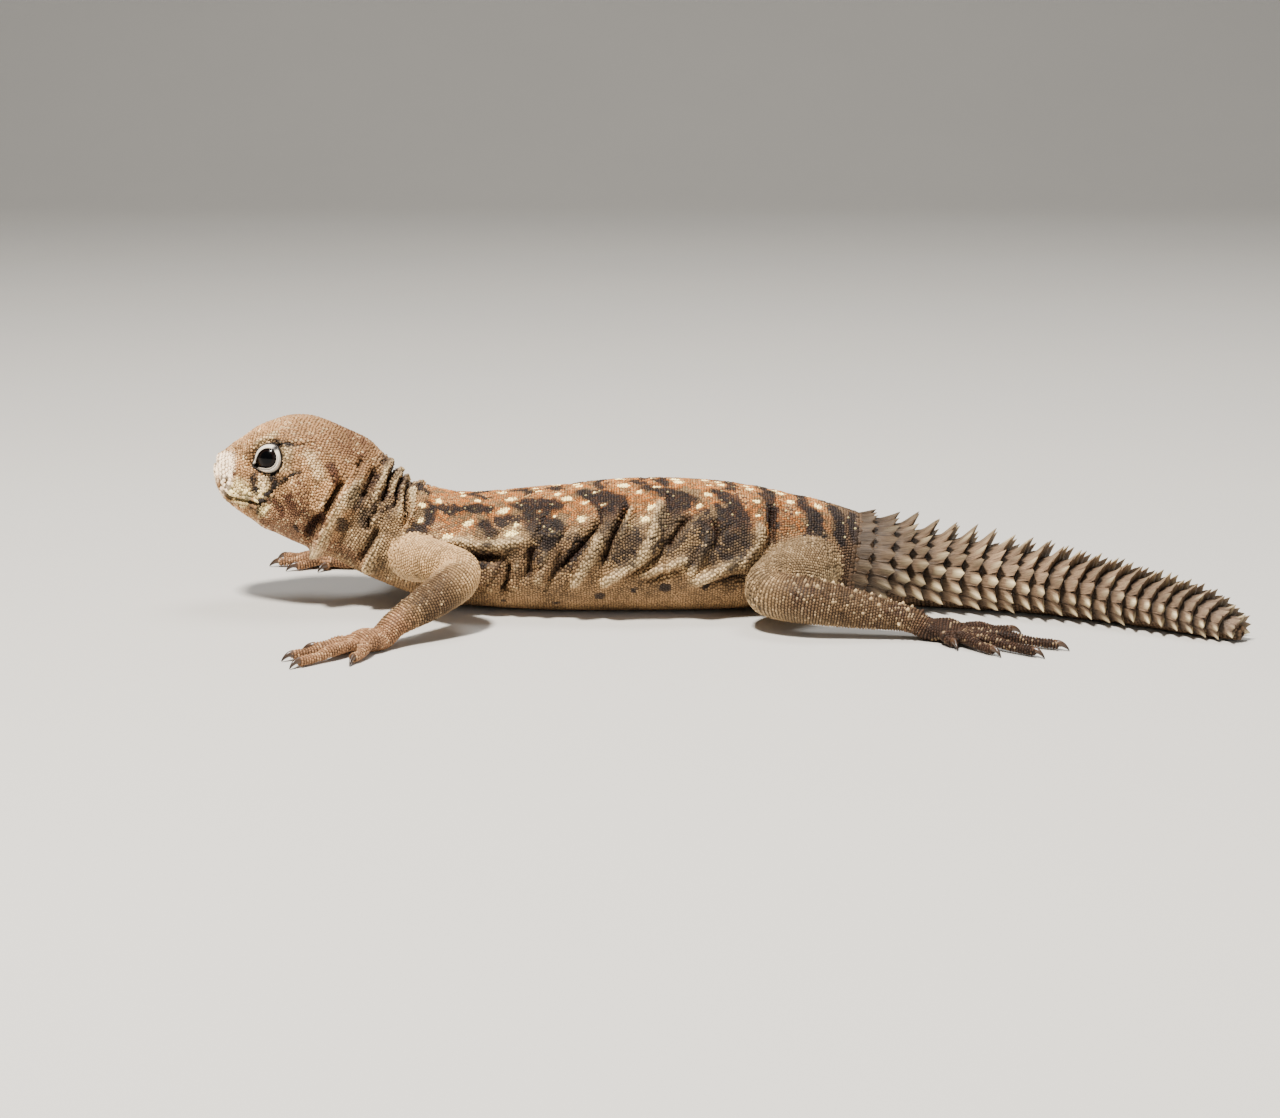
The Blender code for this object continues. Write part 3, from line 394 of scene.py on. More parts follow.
# Folds of the skin: path on the unrolled skin (spine x, girth down the side), half width, lift, and how far
# the fold leans forward if it does.
folds = {
    "brow": (((-63.4, 6.6), (-62.0, 5.6), (-60.2, 5.2), (-58.4, 5.7)), 0.9, 0.35),
    "temple line": (((-58.6, 6.9), (-57.6, 7.6), (-56.4, 7.4), (-55.4, 6.6)), 0.3, -0.3),
    "cheek": (((-56.8, 14.6), (-54.2, 13.4)), 2.8, 0.55),
    "cheek crease": (((-56.4, 11.6), (-57.5, 13.1), (-58.8, 14.4), (-59.6, 15.8)), 0.28, -0.35),
    "jaw edge": (((-52.6, 7.6), (-52.2, 10.6), (-52.4, 14.1), (-53.0, 16.8)), 0.8, 0.5),
    "ear hollow": (((-50.7, 8.6), (-50.9, 10.4), (-51.1, 12.6), (-51.3, 15.0)), 0.42, -2.0),
    "ear rim": (((-51.9, 11.4), (-52.3, 16.4)), 0.3, 0.5),
    "behind ear": (((-50.3, 4.4), (-50.2, 6.6)), 0.4, -0.9),
    "throat fold": (((-48.6, 3.6), (-49.1, 7.5), (-49.7, 9.6), (-50.1, 11.5), (-50.3, 14.2), (-50.5, 17.5),
                     (-50.4, 19.7), (-50.3, 23.0), (-50.2, 27.0)), 0.66, 1.45, 0.8),
    "throat lobe": (((-50.4, 15.0), (-50.4, 18.5), (-50.3, 22.0), (-50.2, 27.0)), 1.15, 0.6, 0.1),
    "throat recess": (((-51.4, 14.4), (-51.8, 16.8), (-52.0, 19.0), (-51.9, 22.0)), 0.8, -1.6),
    "behind throat fold": (((-47.7, 10.6), (-47.7, 15.0), (-47.8, 18.6)), 0.8, -0.6),
    "neck pit": (((-48.4, 3.6), (-48.1, 6.4), (-47.9, 9.6)), 0.42, -1.7),
    "nape ridge 1": (((-47.6, 0.6), (-47.5, 4.4), (-46.9, 7.6), (-46.6, 9.6)), 0.48, 0.75, 0.2),
    "nape groove 1": (((-46.9, 0.2), (-46.8, 4.0), (-46.1, 6.9), (-45.9, 8.6)), 0.33, -1.6),
    "nape ridge 2": (((-46.1, 0.0), (-45.9, 3.6), (-45.2, 6.6), (-45.0, 9.4)), 0.48, 0.75, 0.2),
    "nape groove 2": (((-45.4, 0.0), (-45.1, 3.8), (-44.4, 6.6), (-44.1, 8.8)), 0.33, -1.6),
    "nape ridge 3": (((-44.6, 0.0), (-44.1, 3.8), (-43.5, 6.9), (-43.2, 9.0), (-43.0, 10.6)), 0.48, 0.7, 0.2),
    "shoulder groove": (((-43.9, 0.8), (-43.4, 3.4), (-42.6, 6.7), (-41.9, 8.9), (-41.7, 11.8)), 0.36, -1.8),
    "shoulder ridge": (((-42.6, 1.6), (-41.7, 5.4), (-41.0, 8.0), (-40.8, 10.6)), 0.6, 0.75),
    "nape knot 1": (((-46.4, 10.2), (-45.2, 11.4)), 0.7, 0.7),
    "nape groove 4": (((-45.9, 9.2), (-46.2, 11.8), (-45.6, 13.2)), 0.4, -1.2),
    "neck groove": (((-44.8, 11.2), (-44.5, 14.0), (-44.5, 16.6), (-44.7, 19.2)), 0.55, -1.3),
    "shoulder fold": (((-43.2, 11.6), (-43.6, 14.0), (-43.6, 16.2), (-43.6, 18.6), (-43.2, 21.0)), 0.6, 1.1,
                      0.3),
    "side fold": (((-42.8, 12.6), (-40.3, 13.4), (-36.6, 12.5), (-33.0, 12.2), (-31.1, 12.8), (-26.6, 13.4),
                   (-23.9, 13.3), (-21.8, 13.7)), 0.8, 1.25),
    "side groove": (((-41.4, 15.4), (-38.6, 14.9), (-36.6, 14.3), (-33.0, 14.0), (-30.4, 14.6), (-27.6, 15.0),
                     (-25.0, 15.2)), 0.62, -1.7),
    "breast fold 1": (((-41.4, 15.8), (-40.6, 18.2), (-41.2, 20.6)), 0.6, 0.8),
    "breast groove": (((-39.6, 16.6), (-39.2, 19.4)), 0.5, -0.7),
    "arm ridge": (((-32.5, 15.0), (-32.1, 16.6), (-32.4, 19.0)), 0.65, 1.0),
    "arm groove 1": (((-34.4, 15.4), (-34.0, 18.4)), 0.5, -0.9),
    "arm groove 2": (((-30.6, 15.6), (-30.8, 19.4)), 0.5, -0.95),
    "rib ridge 0": (((-28.2, 15.6), (-28.6, 20.4)), 0.9, 0.5),
    "rib groove 1": (((-25.6, 15.4), (-25.9, 18.6), (-26.6, 21.6)), 0.42, -1.5),
    "rib ridge 1": (((-24.2, 15.4), (-24.6, 18.2), (-25.3, 20.8)), 0.7, 0.9),
    "rib groove 2": (((-22.0, 13.6), (-22.6, 16.0), (-23.2, 19.6)), 0.45, -1.35),
    "rib ridge 2": (((-20.2, 14.6), (-20.9, 17.6), (-21.8, 20.4)), 0.8, 0.9),
    "rib groove 3": (((-18.2, 14.8), (-18.8, 17.4), (-20.2, 20.2)), 0.5, -1.0),
    "top groove": (((-20.6, 8.8), (-21.4, 12.4)), 0.3, -0.5),
    "fold roll": (((-21.6, 12.6), (-19.6, 13.0), (-17.6, 12.6)), 0.55, 0.7),
    "flank groove 1": (((-12.9, 10.6), (-13.6, 12.9), (-15.4, 15.0), (-17.4, 16.9), (-19.4, 19.6)), 0.5,
                       -1.6),
    "flank fold 1": (((-11.9, 13.0), (-13.4, 15.8), (-15.0, 18.4), (-17.6, 21.4)), 0.75, 1.5, 0.2),
    "back groove 1": (((-12.4, 8.6), (-12.6, 12.6)), 0.3, -0.75),
    "flank groove 2": (((-8.2, 8.2), (-9.4, 10.8), (-10.7, 13.4), (-11.4, 15.9), (-13.2, 19.4)), 0.48, -1.7),
    "back ridge": (((-7.6, 8.8), (-8.9, 12.0), (-10.1, 15.4)), 0.5, 0.8),
    "flank fold 2": (((-3.6, 6.4), (-4.2, 9.6), (-4.7, 13.2), (-5.6, 15.6), (-7.0, 17.6), (-9.0, 19.1),
                      (-11.6, 20.5), (-14.2, 21.7)), 0.8, 1.75, 0.2),
    "flank shade 2": (((-9.6, 20.6), (-6.4, 18.9), (-4.0, 16.9), (-3.2, 13.8)), 0.5, -1.1),
    "flank groove 3": (((0.0, 10.2), (-1.4, 12.6), (-2.4, 14.6), (-3.0, 16.4)), 0.5, -1.5),
    "back groove 2": (((-3.0, 5.6), (-3.2, 8.8)), 0.3, -0.7),
    "flank fold 3": (((2.4, 11.6), (2.2, 14.6), (1.2, 17.8), (-0.8, 20.2)), 0.55, 1.15, 0.2),
    "flank groove 4": (((3.2, 10.4), (3.9, 13.2), (3.5, 16.2)), 0.42, -1.1),
    "flank fold 5": (((0.9, 16.8), (-1.8, 18.0), (-4.9, 19.2), (-7.4, 20.4)), 0.55, 1.15),
    "flank shade 5": (((-0.6, 18.9), (-3.6, 20.2), (-6.8, 21.6)), 0.4, -0.8),
    "hip fold": (((9.1, 9.0), (10.0, 11.4), (9.7, 13.8), (8.2, 15.8), (4.9, 17.8), (1.4, 20.0), (-1.8, 21.4)),
                 0.75, 1.6, 0.3),
    "hip shade": (((8.6, 18.2), (4.9, 20.0), (1.4, 21.8)), 0.6, -0.9),
    "hip groove": (((11.6, 5.0), (11.7, 8.0), (11.9, 12.0), (10.8, 15.6)), 0.6, -1.5),
    "loin groove": (((12.9, 3.4), (13.2, 7.0)), 0.35, -0.6),
}

# The top line, spine x, half length and lift: fuller crown and nape, and a dip before the shoulders.
contour = ((-57.0, 3.0, 0.35), (-50.3, 2.7, 1.0), (-43.2, 2.4, -0.65))

mouth = {
    "line": ((-68.2, 0.0), (-67.9, 3.6), (-67.5, 6.0), (-67.2, 7.6), (-66.2, 9.8), (-64.8, 11.3),
             (-63.4, 12.8), (-62.3, 14.0), (-61.5, 14.9), (-60.4, 15.1), (-59.5, 14.4), (-58.9, 13.5)),
    "groove": 0.5, "half": 0.13,
    "lipLift": 0.16, "lipHalf": 0.36, "lipAway": 0.5,
}
nostril = {"place": (-66.7, 6.7), "size": (0.42, 0.3), "depth": 0.55, "rim": 0.16}

eye = {
    "centre": (-59.5, 4.6, 22.4),
    "radius": 2.45,
    "looks": (-0.30, 1.0, 0.18),
    "slit": (-0.94, 0.0, -0.20),   # along the slit of the right eye, towards the snout
    "cornea": 0.10,
}


def closedLoft(loft, around, rows=None):
    rows = rows or int(loft.length() / skin["loftStep"]) + 8
    ring = loft.grid(rows, around).reshape(-1, 3)
    ends = np.stack([ring[:around].mean(axis=0), ring[-around:].mean(axis=0)])
    k = np.arange(around)
    n = (k + 1) % around
    count, tail = len(ring), len(ring) - around
    caps = np.concatenate([np.stack([n, k, np.full(around, count)], 1),
                           np.stack([tail + k, tail + n, np.full(around, count + 1)], 1)])
    return np.concatenate([ring, ends]), np.concatenate([triangles(gridFaces(rows, around)), caps])


def fuse(name, lofts, voxel):
    made = newMesh(name, *joined([closedLoft(loft, 96 if loft is trunk else 32) for loft in lofts]), 1)
    remesh = made.modifiers.new("fuse", "REMESH")
    remesh.mode = "VOXEL"
    remesh.voxel_size = voxel
    remesh.use_smooth_shade = True
    applyModifiers(made)
    return made


def nearness(points, lofts, reach):  # 1 on the surfaces of the lofts, 0 at reach from them
    weight = np.zeros(len(points))
    for loft in lofts:
        p, f = closedLoft(loft, 32)
        low, high = p.min(axis=0) - reach, p.max(axis=0) + reach
        tree = BVHTree.FromPolygons(p.tolist(), f.tolist())
        for i in np.nonzero(((points > low) & (points < high)).all(axis=1))[0]:
            found = tree.find_nearest(points[i], reach)
            if found[0] is not None:
                weight[i] = max(weight[i], 1 - found[3] / reach)
    return weight


def smoothJoints(thing):
    points = readPoints(thing.data)
    legReach, digitReach = skin["joinReach"]["leg"], skin["joinReach"]["digit"]
    nearLeg = nearness(points, legLofts.values(), legReach)
    nearDigit = nearness(points, digitLofts.values(), digitReach)
    legSelf = nearness(points, legLofts.values(), digitReach)
    onTrunk = nearness(points, [trunk], legReach)
    weight = np.maximum(np.minimum(nearLeg, onTrunk), 0.7 * np.minimum(nearDigit, legSelf))
    weight = easeIn(weight, 0.05, 0.8)
    group = thing.vertex_groups.new(name="joints")
    for i in np.nonzero(weight > 0.02)[0]:
        group.add([int(i)], float(weight[i]), "REPLACE")
    for limit, rounds, factor in (("joints", skin["joinRounds"], 0.6), ("", 2, 0.5)):
        modifier = thing.modifiers.new("smooth", "SMOOTH")
        modifier.factor = factor
        modifier.iterations = rounds
        modifier.vertex_group = limit
    applyModifiers(thing)


def refine(thing, wanted):
    mesh = bmesh.new()
    mesh.from_mesh(thing.data)
    edges = [e for e in mesh.edges if wanted(e.verts[0].co) and wanted(e.verts[1].co)]
    bmesh.ops.subdivide_edges(mesh, edges=edges, cuts=1, use_grid_fill=True, smooth=0.6)
    mesh.to_mesh(thing.data)
    mesh.free()


def fromNostril(s, side):  # distance from the middle of the nostril, 1 at its edge
    (x, y), (long, tall) = nostril["place"], nostril["size"]
    return np.hypot((s - x) / long, (side - y) / tall)


def eyeFrame(sign):  # centre, then the slit, up and out directions of one eye; sign is 1 for the right eye
    centre = np.array(eye["centre"]) * (1, sign, 1)
    out = unit(np.array(eye["looks"]) * (1, sign, 1))
    slit = np.array(eye["slit"])
    across = unit(slit - out * slit.dot(out))
    up = np.cross(out, across)
    return centre, across, up * np.sign(up[2]), out


def eyePlaces(points, sign):  # places seen from one eye: along its slit, up and out
    centre, *ways = eyeFrame(sign)
    return [(points - centre) @ way for way in ways]


def topLine(s, side):  # how far the crown and nape rise over the plain loft
    rise = sum(height * hill(s - place, long) for place, long, height in contour)
    return rise * easeOut(side, 5.5, 11.0)


def foldLift(points, s, g):  # how far the folds lift the skin, and how far they lean forward
    lift, lean = np.zeros(len(s)), np.zeros(len(s))
    side = abs(g)
    s = s + 0.25 * cloudNoise(points, 3.0, 5) + np.where(g > 0, 0.7 * cloudNoise(points, 9.0, 6), 0)
    for path, half, height, *leans in folds.values():
        forward = leans[0] if leans else 0.0
        low = min(p[0] for p in path) - 4 * half
        high = max(p[0] for p in path) + 4 * half * (1 + forward)
        near = np.nonzero((s > low) & (s < high))[0]
        gap, where, behind = pathDistance(s[near], side[near], path)
        fade = np.ones(len(near))
        if path[-1][1] < 26:  # the others run on round the throat
            fade = easeOut(where, 0.78, 1.0)
        if path[0][1] > 1:  # the others run on over the top line
            fade = fade * easeIn(where, 0.0, 0.22)
        # a fold that leans forward is steep in front and slopes off behind
        half = half * np.where(behind > 0, 1 + 1.3 * forward, 1 - 0.35 * forward)
        share = hill(gap, half) * fade
        lift[near] += height * share
        lean[near] += forward * share
    under = easeIn(side, 16.0, 22.0)  # below the throat the folds are low and round
    lean *= 1 - 0.8 * under
    lift *= 1 - 0.3 * under * (s < -46)
    # fine wrinkles: tight across the nape, wide and shallow on the flanks, faint on the back
    nape = between(s, -49.6, -47.8, -41.0, -38.5) * easeOut(side, 10.0, 13.5)
    wave = abs(np.sin(math.pi * (s - 0.1 * side + 0.5 * cloudNoise(points, 3.4, 7)) / 1.3))
    lift += nape * (0.5 * wave ** 0.7 - 0.36)
    lift += nape * 0.16 * cloudNoise(points, 1.5, 12)
    flank = between(side, 10.0, 14.0, 20.5, 23.0) * easeIn(s, -40, -34) * easeOut(s, 7, 11)
    back = easeOut(side, 9.0, 12.0) * easeIn(s, -40, -36) * easeOut(s, 18, 22)
    for share, x, y, size, seed, deep, wide, level in (
            (flank, s + 0.6 * side, 0.33, 2.3, 8, 0.55, 0.28, 0.8), (back, s, 0.4, 2.6, 9, 0.16, 0.22, 0.9)):
        crease = abs(cloudNoise(np.stack([x, side * y, np.sign(g) * 9.0], 1), size, seed))
        lift += share * deep * (easeIn(crease, 0.0, wide) - level)
    return lift, lean


def sculpt(thing):
    points = readPoints(thing.data)
    normals = readPoints(thing.data, "normal")
    part, s, g = skinMap.find(points)
    onTrunk, side = part == 0, abs(g)
    lift, lean = foldLift(points, s, g)
    lift += topLine(s, side)
    awayFromLeg = 1 - nearness(points, legLofts.values(), skin["legReach"])
    lift *= onTrunk * (0.2 + 0.8 * awayFromLeg)
    lift -= skin["inset"]
    gap, where, behind = pathDistance(s, side, mouth["line"])
    inMouth = onTrunk & (s < -58) & (gap < 2)
    lips = mouth["lipLift"] * hill(gap - mouth["lipAway"], mouth["lipHalf"])
    lift += inMouth * easeOut(where, 0.93, 1.0) * (-mouth["groove"] * hill(gap, mouth["half"]) + lips)
    r = fromNostril(s, side)
    lift += onTrunk * (s < -62) * (nostril["rim"] * hill(r - 1.5, 0.6) - nostril["depth"] * hill(r, 1.0, 4))
    moved = points + normals * lift[:, None] + np.array([-1.0, 0, -0.35]) * (lean * onTrunk)[:, None]
    moved = shapeOrbits(moved)
    moved[:, 2] = np.maximum(moved[:, 2], 0.02)
    setPoints(thing, moved)


lids = {
    # Points round the eye as (towards the snout, up) from its middle: inner and outer edge of the lids.
    "inner": ((2.6, -0.62), (1.95, -0.16), (1.45, 0.34), (0.85, 0.88), (0.05, 1.18), (-0.75, 1.04),
              (-1.22, 0.5), (-1.34, -0.2), (-1.08, -0.86), (-0.5, -1.28), (0.2, -1.36), (0.9, -1.16),
              (1.4, -0.98), (2.0, -0.86)),
    "outer": ((3.35, -0.62), (2.9, 0.26), (2.05, 1.3), (1.1, 1.98), (0.0, 2.26), (-1.05, 2.06),
              (-1.85, 1.42), (-2.16, 0.48), (-2.16, -0.5), (-1.8, -1.5), (-1.06, -2.22), (0.0, -2.5),
              (1.0, -2.34), (1.96, -1.88), (2.76, -1.3)),
    "thick": 0.32,
    "eyeGap": 0.06,
    "grow": {"inner": 1.05, "outer": 0.94},
    "reach": 4.2,            # from the eye's middle to where the skin is left as it is
    "hole": (1.7, 1.95), "slope": (2.0, 2.9),   # where each of them fades, as lidShare counts
    "depth": 1.3,            # of the skin inside the lids
}


def roundPath(path, steps):  # a closed smooth line through the points
    path = np.array(path, float)
    t = np.linspace(0, len(path), steps + 1)[:-1]
    i = t.astype(int)
    return curve(*(path[(i + k) % len(path)] for k in (-1, 0, 1, 2)), (t - i)[:, None])


def lidShare(a, b):  # 0 at the eye's middle, 1 at the inner edge of the lids, 2 at the outer edge
    edges = []
    for name, grow in lids["grow"].items():
        line = roundPath(lids[name], 200) * grow
        x, y = line[np.argsort(np.arctan2(line[:, 1], line[:, 0]))].T
        edges.append(np.interp(np.arctan2(b, a), np.arctan2(y, x), np.hypot(x, y), period=2 * math.pi))
    r = np.hypot(a, b)
    return np.where(r < edges[0], r / edges[0], 1 + (r - edges[0]) / (edges[1] - edges[0]))


def lidHeight(a, b):  # height of the lids over the eye's middle plane
    return np.sqrt(np.maximum((eye["radius"] + lids["eyeGap"]) ** 2 - a ** 2 - b ** 2, 0.9 ** 2))


def shapeOrbits(points):  # opens the skin over each eye and lays it round the lids
    for sign in (1, -1):
        out = eyeFrame(sign)[3]
        a, b, c = eyePlaces(points, sign)
        near = np.nonzero((c > -0.5) & (np.hypot(a, b) < lids["reach"]))[0]
        a, b, c = a[near], b[near], c[near]
        share, ball = lidShare(a, b), lidHeight(a, b)
        inside = easeOut(share, *lids["hole"])
        beside = easeOut(share, *lids["slope"]) * (1 - inside)
        target = c + (ball - lids["depth"] - c) * inside + (ball + 0.05 - c) * beside
        points[near] += out * (target - c)[:, None]
    return points


skinPiece = fuse("skin", allLofts.values(), skin["voxel"])
print("skin fused:", len(skinPiece.data.vertices), "points")
smoothJoints(skinPiece)
refine(skinPiece, lambda p: p.x < skin["fineX"] and abs(p.y) < 12.5 and p.z > 3)
sculpt(skinPiece)
print("skin sculpted:", len(skinPiece.data.vertices), "points")
skinPoints = readPoints(skinPiece.data)
skinNormals = readPoints(skinPiece.data, "normal")


# Colours of the hide as masks, worked out from places on the unrolled skin

marks = {
    # cream spots of the back: spine x, girth down the side, half length, half height
    "spots": ((-27.0, 0.2, 0.5, 0.5), (-25.7, 4.2, 0.75, 0.6), (-26.6, 7.4, 0.66, 0.62),
              (-24.8, 10.5, 0.35, 0.3), (-25.3, 11.9, 0.85, 0.45), (-21.3, 8.3, 0.25, 0.22),
              (-19.2, 9.5, 0.3, 0.28), (-17.4, 5.8, 0.65, 0.6), (-18.7, 3.8, 0.45, 0.5),
              (-14.7, 7.6, 0.42, 0.32), (-15.2, 10.8, 0.66, 0.55), (-13.4, 4.6, 0.3, 0.3),
              (-12.0, 8.3, 0.32, 0.25), (-9.3, 2.6, 0.75, 0.8), (-7.2, 5.4, 0.5, 0.5),
              (-5.4, 9.6, 0.45, 0.42), (-6.3, 11.7, 0.66, 0.45), (-8.9, 9.6, 0.3, 0.25),
              (-1.6, 1.0, 0.6, 0.7), (2.5, 5.7, 0.58, 0.55), (1.3, 8.7, 0.45, 0.42), (2.5, 1.7, 0.45, 0.5),
              (-31.9, 9.2, 0.72, 0.5), (-37.5, 4.3, 0.6, 0.6), (-40.0, 6.2, 0.5, 0.42),
              (-30.7, 3.3, 0.45, 0.5), (-34.7, 11.3, 0.8, 0.42), (-39.6, 9.0, 0.4, 0.4),
              (4.5, 0.9, 0.45, 0.5), (8.6, 0.9, 0.5, 0.55), (12.9, 0.7, 0.5, 0.55), (9.4, 5.7, 0.42, 0.45),
              (14.3, 3.5, 0.45, 0.45), (9.4, 8.8, 0.25, 0.2), (18.0, 2.7, 0.55, 0.6),
              (15.2, 6.3, 0.25, 0.25), (-33.6, 0.6, 0.45, 0.5), (-21.8, 1.0, 0.4, 0.4),
              (-4.8, 3.6, 0.4, 0.4), (-15.6, 0.7, 0.5, 0.5)),
    # dark bars of the back: path on the unrolled skin, half width
    "bars": ((((-39.6, 6.4), (-36.6, 6.2), (-33.2, 6.0), (-29.4, 6.4)), 1.15),
             (((-38.4, 7.6), (-38.8, 9.4), (-39.4, 11.0)), 1.45),
             (((-41.8, 0.0), (-40.4, 2.4)), 1.1),
             (((-31.8, 0.2), (-29.4, 2.2)), 0.85),
             (((-29.6, 9.8), (-28.2, 11.8)), 1.25),
             (((-24.0, 5.8), (-21.8, 6.6), (-19.6, 7.2)), 1.9),
             (((-22.4, 8.8), (-21.0, 11.4), (-19.6, 12.6)), 1.9),
             (((-24.4, 0.0), (-23.0, 1.6)), 0.8), (((-19.6, 0.0), (-18.6, 1.4)), 0.7),
             (((-15.0, 4.4), (-12.6, 5.8), (-10.2, 7.4)), 1.65),
             (((-12.6, 7.2), (-11.4, 10.4), (-11.0, 13.0)), 1.25), (((-9.6, 8.4), (-9.2, 9.6)), 1.1),
             (((-12.8, 0.0), (-12.4, 2.4)), 0.9), (((-7.4, 0.0), (-6.4, 1.6)), 0.7),
             (((-5.6, 4.2), (-3.6, 5.4), (-1.2, 7.6)), 1.6),
             (((-1.8, 7.6), (-2.4, 10.4), (-2.8, 12.8)), 1.75),
             (((-4.2, 0.0), (-3.4, 2.2)), 0.9),
             (((4.6, 4.6), (6.2, 7.0), (6.6, 10.4)), 1.75), (((4.4, 9.6), (5.4, 12.4)), 1.6),
             (((6.4, 0.0), (6.2, 2.4)), 0.9),
             (((10.9, 2.8), (11.4, 5.4), (11.7, 8.8)), 1.15),
             (((10.8, 0.0), (11.0, 1.6)), 0.7),
             (((16.4, 3.4), (17.1, 6.0), (17.4, 9.6)), 1.35),
             (((16.0, 0.0), (16.2, 2.0)), 0.8),
             (((20.2, 1.0), (20.8, 4.0), (20.8, 8.0)), 1.1), (((23.2, 2.0), (23.2, 7.0)), 0.8)),
    # dark patches of the flank, broken up scale by scale
    "patches": ((((-11.0, 13.0), (-8.4, 14.6), (-9.6, 17.4)), 2.0),
                (((1.8, 11.0), (3.2, 15.8), (0.8, 17.6)), 1.7),
                (((6.8, 10.6), (7.4, 13.4), (5.6, 15.8)), 1.7),
                (((-1.2, 12.2), (-3.2, 15.4)), 1.6), (((-20.2, 13.4), (-21.2, 15.0)), 1.4),
                (((-37.0, 14.2), (-29.0, 15.0)), 1.2), (((-15.4, 14.6), (-17.4, 17.2)), 1.1),
                (((-27.0, 9.2), (-24.0, 9.4)), 0.7)),
    "bellySpots": ((-12.9, 23.4, 0.8), (-7.9, 22.6, 0.5), (-3.4, 22.0, 1.0), (2.4, 21.4, 0.6),
                   (-19.0, 24.4, 0.5), (-26.5, 23.0, 0.4)),
}

headMarks = {
    # path on the unrolled skin, half width, and the strength if it isn't 1
    "dark": ((((-62.4, 9.9), (-62.2, 10.8)), 0.48), (((-62.5, 11.6), (-61.9, 12.4)), 0.5),
             (((-63.3, 12.2), (-63.0, 13.4), (-62.9, 14.4)), 0.36, 0.8),
             (((-59.8, 11.4), (-59.2, 12.6), (-59.0, 13.4)), 0.62),
             (((-59.4, 13.4), (-60.4, 14.4), (-61.5, 15.1)), 0.5),
             (((-58.9, 13.3), (-57.4, 12.3), (-56.2, 11.4)), 0.26),
             (((-61.9, 15.2), (-61.6, 16.4)), 0.3, 0.8),
             (((-60.0, 6.6), (-59.2, 7.0), (-58.4, 7.4)), 0.36),
             (((-59.3, 6.9), (-58.4, 7.5), (-57.4, 7.7)), 0.3),
             (((-48.7, 9.0), (-48.6, 10.4)), 1.1, 0.9), (((-48.8, 13.8), (-48.4, 14.7)), 0.7, 0.9),
             (((-46.8, 10.6), (-46.4, 12.4)), 0.8, 0.8), (((-54.4, 19.6), (-53.6, 20.2)), 0.35, 0.9)),
    # brown: the first mark is painted shade in the recess behind the jaw; the others are brown marks of the
    # head
    "brown": ((((-51.4, 15.2), (-51.9, 17.4), (-52.0, 19.8)), 0.8, 1.2),
              (((-58.8, 15.6), (-57.6, 17.2), (-57.0, 18.6)), 0.6),
              (((-56.3, 15.6), (-55.2, 17.4)), 1.1, 0.9), (((-55.2, 14.4), (-53.6, 16.6)), 1.1, 0.7),
              (((-55.8, 12.4), (-54.4, 14.6)), 0.7, 0.6), (((-52.9, 8.6), (-51.8, 10.0)), 0.8, 0.9),
              (((-64.9, 7.4), (-63.6, 9.2)), 0.7, 0.5), (((-64.6, 10.4), (-63.6, 12.0)), 0.5, 0.5),
              (((-61.2, 15.4), (-59.6, 15.2)), 0.4, 0.9)),
    "yellow": ((((-65.4, 9.0), (-64.4, 10.6), (-63.6, 12.2)), 1.15),
               (((-61.2, 13.4), (-60.6, 14.2), (-60.6, 16.2)), 1.05)),
    "white": ((((-68.2, 1.5), (-66.4, 4.4), (-66.2, 6.0), (-66.8, 7.4)), 1.25),),
    # pale: pale marks of the head; the last one, along the edge of the throat fold, is a painted highlight
    "pale": ((((-61.2, 11.4), (-60.4, 12.6)), 0.7), (((-58.4, 7.9), (-58.2, 9.6)), 0.7, 0.9),
             (((-59.4, 10.6), (-58.0, 11.0)), 0.6, 0.7), (((-55.6, 8.6), (-54.0, 10.6)), 0.8, 0.7),
             (((-61.6, 5.8), (-59.8, 5.6)), 0.5, 0.8), (((-60.4, 14.9), (-59.0, 15.9)), 0.35),
             (((-49.4, 8.0), (-50.1, 11.5), (-50.4, 17.0), (-50.3, 24.0)), 0.42, 0.9)),
}


def drawn(s, g, entries, soft):  # 1 on marks drawn along paths, with an edge this soft
    total = np.zeros(len(s))
    for path, half, *strength in entries:
        gap = pathDistance(s, g, path)[0] / half
        total = np.maximum(total, (strength or [1])[0] * easeOut(gap, 1 - soft, 1 + soft))
    return total


def clamp(x, high=1.0):
    return np.clip(x, 0, high)


def legMasks(mask, part, s, g, shake, coarse):
    # s runs from the shoulder or hip to the toes; the shin and forearm start near 4
    number = part - 1
    onLeg, isToe = part > 0, number >= 4
    isLeg = onLeg & ~isToe
    hind = np.where(isToe, (number - 4) // 5 >= 2, number >= 2)
    lower = np.where(isToe, 1.0, easeIn(s, np.where(hind, 3.6, 4.3), np.where(hind, 4.8, 6.0))) * onLeg
    top = hill(g, np.where(hind, 4.2, 3.2))
    mottle = easeIn(0.75 * coarse + 0.5 * shake, 0.05, 0.6)
    dark = lower * np.where(hind, 0.94 + 0.06 * top, 0.95) * (0.87 + 0.13 * mottle)
    onPaw = np.where(isToe, 1.0, easeIn(s, 7.0, 8.0))
    dark = np.maximum(dark, np.where(hind, 0.97, 0.2) * onLeg * onPaw)
    dark = np.maximum(dark, isLeg * (1 - lower) * 0.42 * easeIn(0.8 * coarse + 0.45 * shake, 0.2, 0.6))
    frontLight = 1 - 0.6 * easeIn(s, 6.6, 7.8) * ~isToe - 0.6 * isToe
    mask["legDark"] = clamp(dark) * np.where(~hind, frontLight, 1.0)
    pale = easeIn(shake + 0.4 * coarse, 0.55, 0.95) * onLeg
    under = easeIn(abs(g), 5.6, 8.2) * isLeg * (1 - 0.75 * dark)
    mask["thigh"] = isLeg * hind * (1 - lower)
    stripe = mask["thigh"] * easeIn(abs(g), 3.5, 6.5) * easeIn(np.sin(s * 23.0), -0.2, 0.6)
    mask["legPale"] = clamp(0.36 * pale + 0.65 * under + 0.5 * stripe)
    mask["hand"] = np.where(isToe, 1.0, easeIn(s, 6.8, 7.8) * onLeg)


